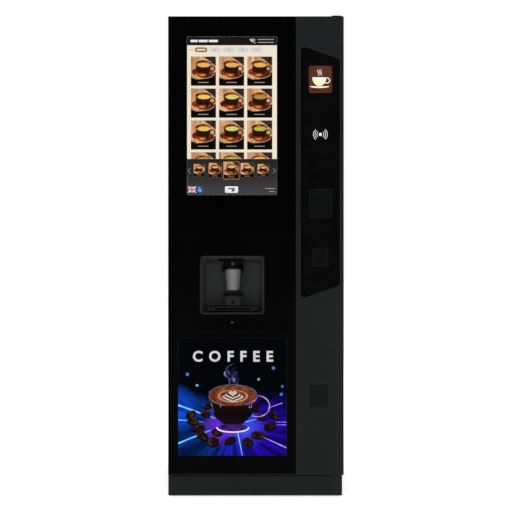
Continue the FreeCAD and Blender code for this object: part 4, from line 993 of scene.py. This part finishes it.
low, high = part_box("drip_tray")
lip = [brick(low.x + 0.03, high.x - 0.03, low.y - 0.0008, low.y, low.z + 0.004, low.z + 0.011, 0.0005)]
keep(lip, "tray_lip", pit_black, "drip_tray")

# Bezel on the front of the glass round the cup opening, and the ring round the sensor.
low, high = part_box("bay_rim")
r, c, y = 0.0115, 0.0013, low.y - 0.0004
path = []
for ccx, ccz, a in (
    (high.x - r - c, high.z - r - c, 0), (low.x + r + c, high.z - r - c, 90),
    (low.x + r + c, low.z + r + c, 180), (high.x - r - c, low.z + r + c, 270),
):
    path += arc(ccx, ccz, r, r, a, a + 90, 6)
keep(ribbon(path, 0.0022, y, True, 0.0006), "bay_bezel", rim_plastic, "door")
low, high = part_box("presence_sensor")
sx_mid = (low.x + high.x) / 2
ring = turned(
    [(0.0047, 0), (0.0056, 0), (0.0054, -0.0004), (0.0047, -0.0003), (0.0047, 0)], sx_mid, -0.3695, 0.6635, "Y",
    28,
)
keep(ring, "sensor_ring", line_grey, "door")

# ---- Fixings and hinge covers
# Pan-head screws hold the rear panel and the door's inner cover. The top hinge has a cap
# over its pin and two bolts into the roof.

SCREW_STEPS = 12


def screw_heads(name, spots, face, body, radius=0.0042):
    # face is the axis the head looks along, and its sign.
    heads = []
    for x, y, z in spots:
        domed = [
            (0, 0), (radius, 0), (radius, -0.0006), (radius * 0.72, -0.002), (radius * 0.3, -0.0025),
            (0, -0.0017),
        ]
        heads.append(turned([(r, h * -face[1]) for r, h in domed], x, y, z, face[0], SCREW_STEPS))
    return keep(heads, name, plated, body)


low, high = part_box("rear_panel")
edge = 0.012
spots = []
for k in range(9):
    z = low.z + edge + (high.z - low.z - 2 * edge) * k / 8
    spots += [(low.x + edge, high.y - 0.0026, z), (high.x - edge, high.y - 0.0026, z)]
spots += [(
    low.x + edge + (high.x - low.x - 2 * edge) * k / 4, high.y - 0.0026, z,
) for k in (1, 2, 3) for z in (low.z + edge, high.z - edge)]
screw_heads("rear_screws", spots, ("Y", 1), "cabinet", 0.0045)
low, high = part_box("door_back_cover")
spots = []
for k in range(8):
    z = low.z + 0.02 + (high.z - low.z - 0.04) * k / 7
    spots += [(high.x - 0.008, high.y, z)]
spots += [(low.x + 0.09 + 0.13 * k, high.y, z) for k in range(4) for z in (1.25, 0.62)]
screw_heads("cover_screws", spots, ("Y", 1), "door", 0.0042)
low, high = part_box("hinge_brackets")
dress(powder_coat, "hinge_brackets")
hinge_x = 0.308
cap = turned(
    [(0, 0), (0.0105, 0), (0.0102, 0.001), (0.0085, 0.0015), (0, 0.0016)], hinge_x, -0.35, high.z - 0.0017,
    steps=28,
)
bolts = [turned(
    [(0, 0), (0.006, 0), (0.006, 0.0012), (0.0045, 0.0016), (0, 0.0016)], hinge_x, y, high.z - 0.0017, steps=6,
) for y in (-0.285, -0.258)]
keep([cap] + bolts, "hinge_cap", plated, "cabinet")

# ---- Rear: fan guard, inlet and fittings
# A wire guard over the fan, brass blades in the mains inlet, and a brass thread on the water stub.


def wire(points, radius, closed=False, smooth=False):
    line = bpy.data.curves.new("wire", "CURVE")
    line.dimensions = "3D"
    line.bevel_depth = radius
    line.bevel_resolution = 2
    run = line.splines.new("NURBS" if smooth else "POLY")
    run.points.add(len(points) - 1)
    for point, place in zip(run.points, points):
        point.co = (*place, 1)
    run.use_cyclic_u = closed
    if smooth:
        run.order_u = 3
        run.use_endpoint_u = True
        run.resolution_u = 6
    line.use_fill_caps = True
    pick(placed("wire", line))
    bpy.ops.object.convert(target="MESH")
    return bpy.context.object


low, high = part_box("fan_frame")
fan_x, fan_z, guard_y = (low.x + high.x) / 2, (low.z + high.z) / 2, cad_box[1].y - 0.0042
wires = []
for r in (0.012, 0.022, 0.032, 0.042, 0.052):
    wires.append(wire(
        [(fan_x + r * cos(t), guard_y, fan_z + r * sin(t)) for t in (2 * pi * i / 40 for i in range(40))],
        0.0009, True,
    ))
for t in (0.785, 2.356, 3.927, 5.498):
    wires.append(wire(
        [(fan_x, guard_y + 0.0012, fan_z), (fan_x + 0.056 * cos(t), guard_y + 0.0012, fan_z + 0.056 * sin(t))],
        0.0009,
    ))
keep(wires, "fan_guard", plated, "cabinet")
thread = [(0.01, 0)]
for i in range(9):
    thread += [(0.0108, 0.0008 + 0.002 * i), (0.01, 0.0018 + 0.002 * i)]
keep(turned(thread + [(0.01, 0.022)], 0.19, 0.339, 0.16, "Y", 28), "stub_thread", brass, "cabinet")
pins = [brick(x - 0.0011, x + 0.0011, 0.3405, 0.3535, 0.1565, 0.1655, 0.0004) for x in (0.24, 0.25, 0.26)]
keep(pins, "inlet_blades", brass, "cabinet")

# ---- Cups in the turret
# Nested paper cups fill the turret's tubes, so each tube shows a column of rolled rims.

low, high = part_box("cup_turret")
joint = [j for j in frame["joints"] if j["name"] == "cup_turret_turn"][0]
turret_x, turret_y = joint["pos_m"][0], joint["pos_m"][1]
RING = 0.08
first = atan2(cup_y - turret_y, cup_x - turret_x)
NEST = 0.0092
ridge = [(0, 0), (0.0255, 0), (0.0318, 0.062)]
for k in range(22):
    z = 0.064 + NEST * k
    ridge += [(0.0322, z), (0.0338, z + 0.0008), (0.034, z + 0.0022), (0.0326, z + 0.003)]
ridge += [(0.031, 0.064 + NEST * 22), (0, 0.064 + NEST * 22 - 0.006)]
stacks = []
for i in range(6):
    a = first + pi / 3 * i
    stacks.append(turned(ridge, turret_x + RING * cos(a), turret_y + RING * sin(a), low.z + 0.0585, steps=24))
# The nested cups take the same board, painted down to mid grey as painted shade.
keep(stacks, "cup_stacks", shaded_board, "cup_turret")
dress(surface("turret tube", (196, 200, 202), (208, 212, 214), (0.12, 0.2), 12, 900, 0.03, clear=0.6), "cup_turret")

# ---- Beans in the hopper
# Roasted beans lie in a loose heap: each is a flattened egg with a crease along one side.

roast = surface("roasted bean", (44, 24, 14), (82, 48, 28), (0.28, 0.45), 300, 1500, 0.2)
pick()
bpy.ops.mesh.primitive_uv_sphere_add(segments=10, ring_count=7, radius=1)
seed = bpy.context.object
seed.scale = (0.0058, 0.0042, 0.003)
bpy.ops.object.transform_apply(location=False, rotation=False, scale=True)
for vertex in seed.data.vertices:
    if vertex.co.z > 0.0008 and abs(vertex.co.y) < 0.0012:
        vertex.co.z *= 0.55
low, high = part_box("bean_hopper")
random.seed(11)
heap = []


def stray(most):
    return random.uniform(-most, most)


for layer_z in range(4):
    for i in range(15):
        for j in range(15):
            if layer_z < 3 and 0 < i < 14 and 0 < j < 14:
                continue
            bean = placed("bean", seed.data.copy())
            x, y = low.x + 0.0145 + 0.0131 * i + stray(0.002), low.y + 0.0095 + 0.0145 * j + stray(0.002)
            bean.location = (x, y, 1.578 + 0.0085 * layer_z + stray(0.0015))
            bean.rotation_euler = (stray(0.6), stray(0.6), random.uniform(0, 6.28))
            heap.append(bean)
bpy.data.objects.remove(seed)
keep(heap, "beans", roast, "cabinet")
for polygon_ in bpy.data.objects["beans"].data.polygons:
    polygon_.use_smooth = True

# ---- Powder in the canisters
# Milk, chocolate and tea powders lie in soft mounds, a little lower at the outlet end.

powders = (
    ("milk", (226, 214, 190), (238, 228, 206)), ("chocolate", (84, 52, 34), (104, 66, 44)),
    ("tea", (176, 138, 92), (196, 158, 110)),
)
for i, (kind, a, b) in enumerate(powders):
    x = (-0.245, -0.125, -0.005)[i]
    pick()
    bpy.ops.mesh.primitive_grid_add(x_subdivisions=16, y_subdivisions=36, size=1, location=(x, 0.125, 1.545))
    mound = bpy.context.object
    mound.scale = (0.099, 0.242, 1)
    settle()
    random.seed(20 + i)
    for vertex in mound.data.vertices:
        near = (vertex.co.y - 0.004) / 0.242
        vertex.co.z += 0.022 * sin(near * 1.7) + 0.008 * cos((vertex.co.x - x) * 40) + stray(0.0012)
    thicken(0, 0, -0.014)
    bpy.ops.object.shade_smooth_by_angle(angle=radians(50))
    dust = surface(kind + " powder", a, b, (0.85, 0.95), 200, 1500, 0.4, gloss=0.1)
    keep(mound, kind + "_powder", dust, "cabinet")
    strap = [brick(x - 0.053, x + 0.053, -0.0012, 0, z, z + 0.005, 0.0004) for z in (1.56, 1.61)]
    strap.append(brick(x - 0.034, x + 0.034, -0.0016, 0, 1.568, 1.604, 0.0005))
    keep(strap, kind + "_front", dust, "cabinet")

# ---- Boiler jacket and valves
# A foil-faced jacket with two straps round the boiler, a brass hex body on each valve, and three red terminal blocks.

foil = surface("jacket foil", (150, 150, 152), (196, 196, 198), (0.3, 0.5), 50, 220, 0.5, metal=0.9)
low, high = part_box("boiler")
bx, by, br = -0.11, -0.02, 0.075
keep(
    turned([(br, 0), (br + 0.0022, 0.004), (br + 0.0022, 0.196), (br, 0.2)], bx, by, low.z + 0.026, steps=64),
    "boiler_jacket", foil, "cabinet",
)
straps = [turned(
    [(br + 0.0022, 0), (br + 0.0034, 0.001), (br + 0.0034, 0.011), (br + 0.0022, 0.012)], bx, by, low.z + z,
    steps=64,
) for z in (0.065, 0.165)]
keep(straps, "boiler_straps", plated, "cabinet")
hexes = [turned(
    [(0, 0), (0.011, 0), (0.011, 0.008), (0, 0.008)], bx + dx, by + dy, high.z - 0.016, steps=6, smooth=10,
) for dx, dy in ((-0.02, 0), (0.015, 0.015), (0.015, -0.015))]
keep(hexes, "boiler_valves", brass, "cabinet")
coil_red = surface("coil red", (150, 30, 26), (172, 40, 34), (0.4, 0.5), 60, 900, 0.05)
blocks = [brick(-0.066 + 0.026 * i, -0.046 + 0.026 * i, -0.056, -0.05, 0.652, 0.688, 0.002) for i in range(3)]
keep(blocks, "boiler_terminals", coil_red, "cabinet")

# ---- Wiring
# A black loom runs along the back plate and fans out to the motors; the door's loom runs down the inside of its
# cover, held by white clips.

loom_black = surface("loom sleeve", (16, 16, 17), (26, 26, 27), (0.55, 0.7), 60, 700, 0.3)
runs = [[(0.3, 0.255, 0.34), (0.3, 0.255, 0.9), (0.3, 0.255, 1.27), (0.08, 0.255, 1.275), (0.078, 0.255, 1.4)]]
runs.append([(0.3, 0.255, 0.64), (0.06, 0.25, 0.64), (-0.03, 0.2, 0.63), (-0.055, 0.02, 0.645)])
runs.append([(0.3, 0.255, 1.1), (0.25, 0.2, 1.095), (0.18, 0.08, 1.085)])
keep([wire(points, 0.0045, smooth=True) for points in runs], "cabinet_loom", loom_black, "cabinet")
low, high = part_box("door_back_cover")
y = high.y + 0.0048
runs = [
    [(0.15, y, 1.7), (0.15, y, 1.3), (0.15, y, 0.95), (0.17, y, 0.86), (0.215, y, 0.846)],
    [(0.15, y, 0.9), (0.15, y, 0.5), (0.11, y, 0.42), (0.04, y, 0.4)],
]
keep([wire(points, 0.0042, smooth=True) for points in runs], "door_loom", loom_black, "door")
clips = [brick(0.143, 0.157, high.y, high.y + 0.0102, z, z + 0.01, 0.001) for z in (1.62, 1.38, 1.14, 0.74, 0.56)]
keep(clips, "loom_clips", white_plastic, "door")

# ---- Inside of the door
# Pressed ribs stiffen the inner cover, and the changer shows its key pad, coin tubes and a small window.

ribs = []
for x0, x1, z0, z1 in ((-0.28, 0.12, 1.02, 1.2), (-0.28, 0.12, 1.3, 1.74), (-0.28, 0.12, 0.18, 0.58)):
    ribs.append(ribbon([(x0, z0), (x1, z0), (x1, z1), (x0, z1)], 0.01, high.y, True, 0.002))
keep(ribs, "cover_ribs", galvanised, "door")
low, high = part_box("coin_changer")
keys = []
for i in range(4):
    keys.append(brick(0.193 + 0.022 * i, 0.203 + 0.022 * i, high.y - 0.015, high.y - 0.0128, 0.782, 0.792, 0.0008))
keep(keys, "changer_keys", white_plastic, "door")
coins = [turned(
    [(0, 0), (0.0112, 0), (0.0112, 0.12), (0, 0.12)], 0.192 + 0.026 * i, high.y - 0.014, 0.515, steps=20,
) for i in range(4)]
keep(coins, "changer_tubes", smoked, "door")
keep(
    brick(0.208, 0.254, high.y - 0.0152, high.y - 0.0138, 0.808, 0.826, 0.0006), "changer_window", lens, "door",
)

# ---- Control case front
# The power and control case has a hinged lid with a quarter-turn fastener, a row of fuses and a relay cover.

low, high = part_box("control_box")
face = low.y
fuses = [turned(
    [(0, 0), (0.006, 0), (0.006, -0.006), (0.0045, -0.008), (0, -0.008)], 0.125 + 0.024 * i, face, 0.205, "Y",
    20,
) for i in range(4)]
keep(fuses, "fuse_caps", black_plastic, "cabinet")
keep(brick(0.235, 0.285, face - 0.006, face, 0.19, 0.216, 0.0015), "relay_cover", smoked, "cabinet")
keep(
    turned([(0, 0), (0.009, 0), (0.009, -0.003), (0, -0.004)], 0.295, face, 0.15, "Y", 24), "case_fastener",
    polished, "cabinet",
)

# ---- Stage: pale floor, soft light and the camera
# A plain pale floor, a large soft light overhead and one from each side, and a camera
# level with the middle of the machine, square to its front.

middle = (cad_box[0] + cad_box[1]) / 2
pick()
bpy.ops.mesh.primitive_plane_add(size=60, location=(0, 0, cad_box[0].z))
floor = bpy.context.object
floor.name = "floor"
pale = surface("pale floor", (246, 246, 246), (250, 250, 250), (0.7, 0.8), 1, 60, 0.01, gloss=0.1)
floor.data.materials.append(pale)
glowing = [node for node in pale.node_tree.nodes if node.type == "BSDF_PRINCIPLED"][0]
glowing.inputs["Emission Color"].default_value = (1, 1, 1, 1)
glowing.inputs["Emission Strength"].default_value = 0.3


def soft_light(name, place, size, watts):
    lamp = bpy.data.lights.new(name, "AREA")
    lamp.shape = "RECTANGLE"
    lamp.size, lamp.size_y = size
    lamp.energy = watts
    holder = placed(name, lamp)
    holder.location = place
    aim = Vector((middle.x, middle.y, middle.z)) - Vector(place)
    holder.rotation_euler = aim.to_track_quat("-Z", "Y").to_euler()


soft_light("overhead", (0, -1.2, 4.6), (4, 3), 70)
soft_light("left side", (-3.6, -2.2, 2.2), (1.6, 3), 45)
soft_light("right side", (3.6, -2.2, 2), (1.6, 3), 26)
soft_light("behind", (0.5, 4, 3), (3, 2), 60)

bay_lamp = bpy.data.lights.new("bay lamp", "AREA")
bay_lamp.size = 0.16
bay_lamp.energy = 0.045
lamp_holder = placed("bay lamp", bay_lamp)
lamp_holder.location = (-0.09, cad_box[0].y - 0.01, 0.84)
lamp_holder.rotation_euler = (pi / 2 - 0.25, 0, 0)
lamp_holder.visible_camera = False

sky = bpy.data.worlds.new("soft room")
bpy.context.scene.world = sky
sky.use_nodes = True
room = sky.node_tree
room.nodes.clear()
rays = add(room, "LightPath")


def white(strength):
    return add(room, "Background", Color=(1, 1, 1, 1), Strength=strength).outputs[0]


def shown_to(kind, others, these):
    # The second light is for rays of this kind, the first for all the others.
    made = add(room, "MixShader")
    for source, socket in zip((rays.outputs[kind], others, these), made.inputs):
        room.links.new(source, socket)
    return made.outputs[0]


mirrored = shown_to("Is Glossy Ray", white(0.85), white(0.1))
room.links.new(shown_to("Is Camera Ray", mirrored, white(1)), add(room, "OutputWorld").inputs["Surface"])

SEEN_WIDTH = 1.946
CAMERA_DISTANCE = 4
lens_data = bpy.data.cameras.new("camera")
lens_data.sensor_width = 36
lens_data.lens = 36 * CAMERA_DISTANCE / SEEN_WIDTH
camera = placed("camera", lens_data)
camera.location = (middle.x, cad_box[0].y - CAMERA_DISTANCE, middle.z)
camera.rotation_euler = (pi / 2, 0, 0)
bpy.context.scene.camera = camera
bpy.context.scene.view_settings.view_transform = "Standard"
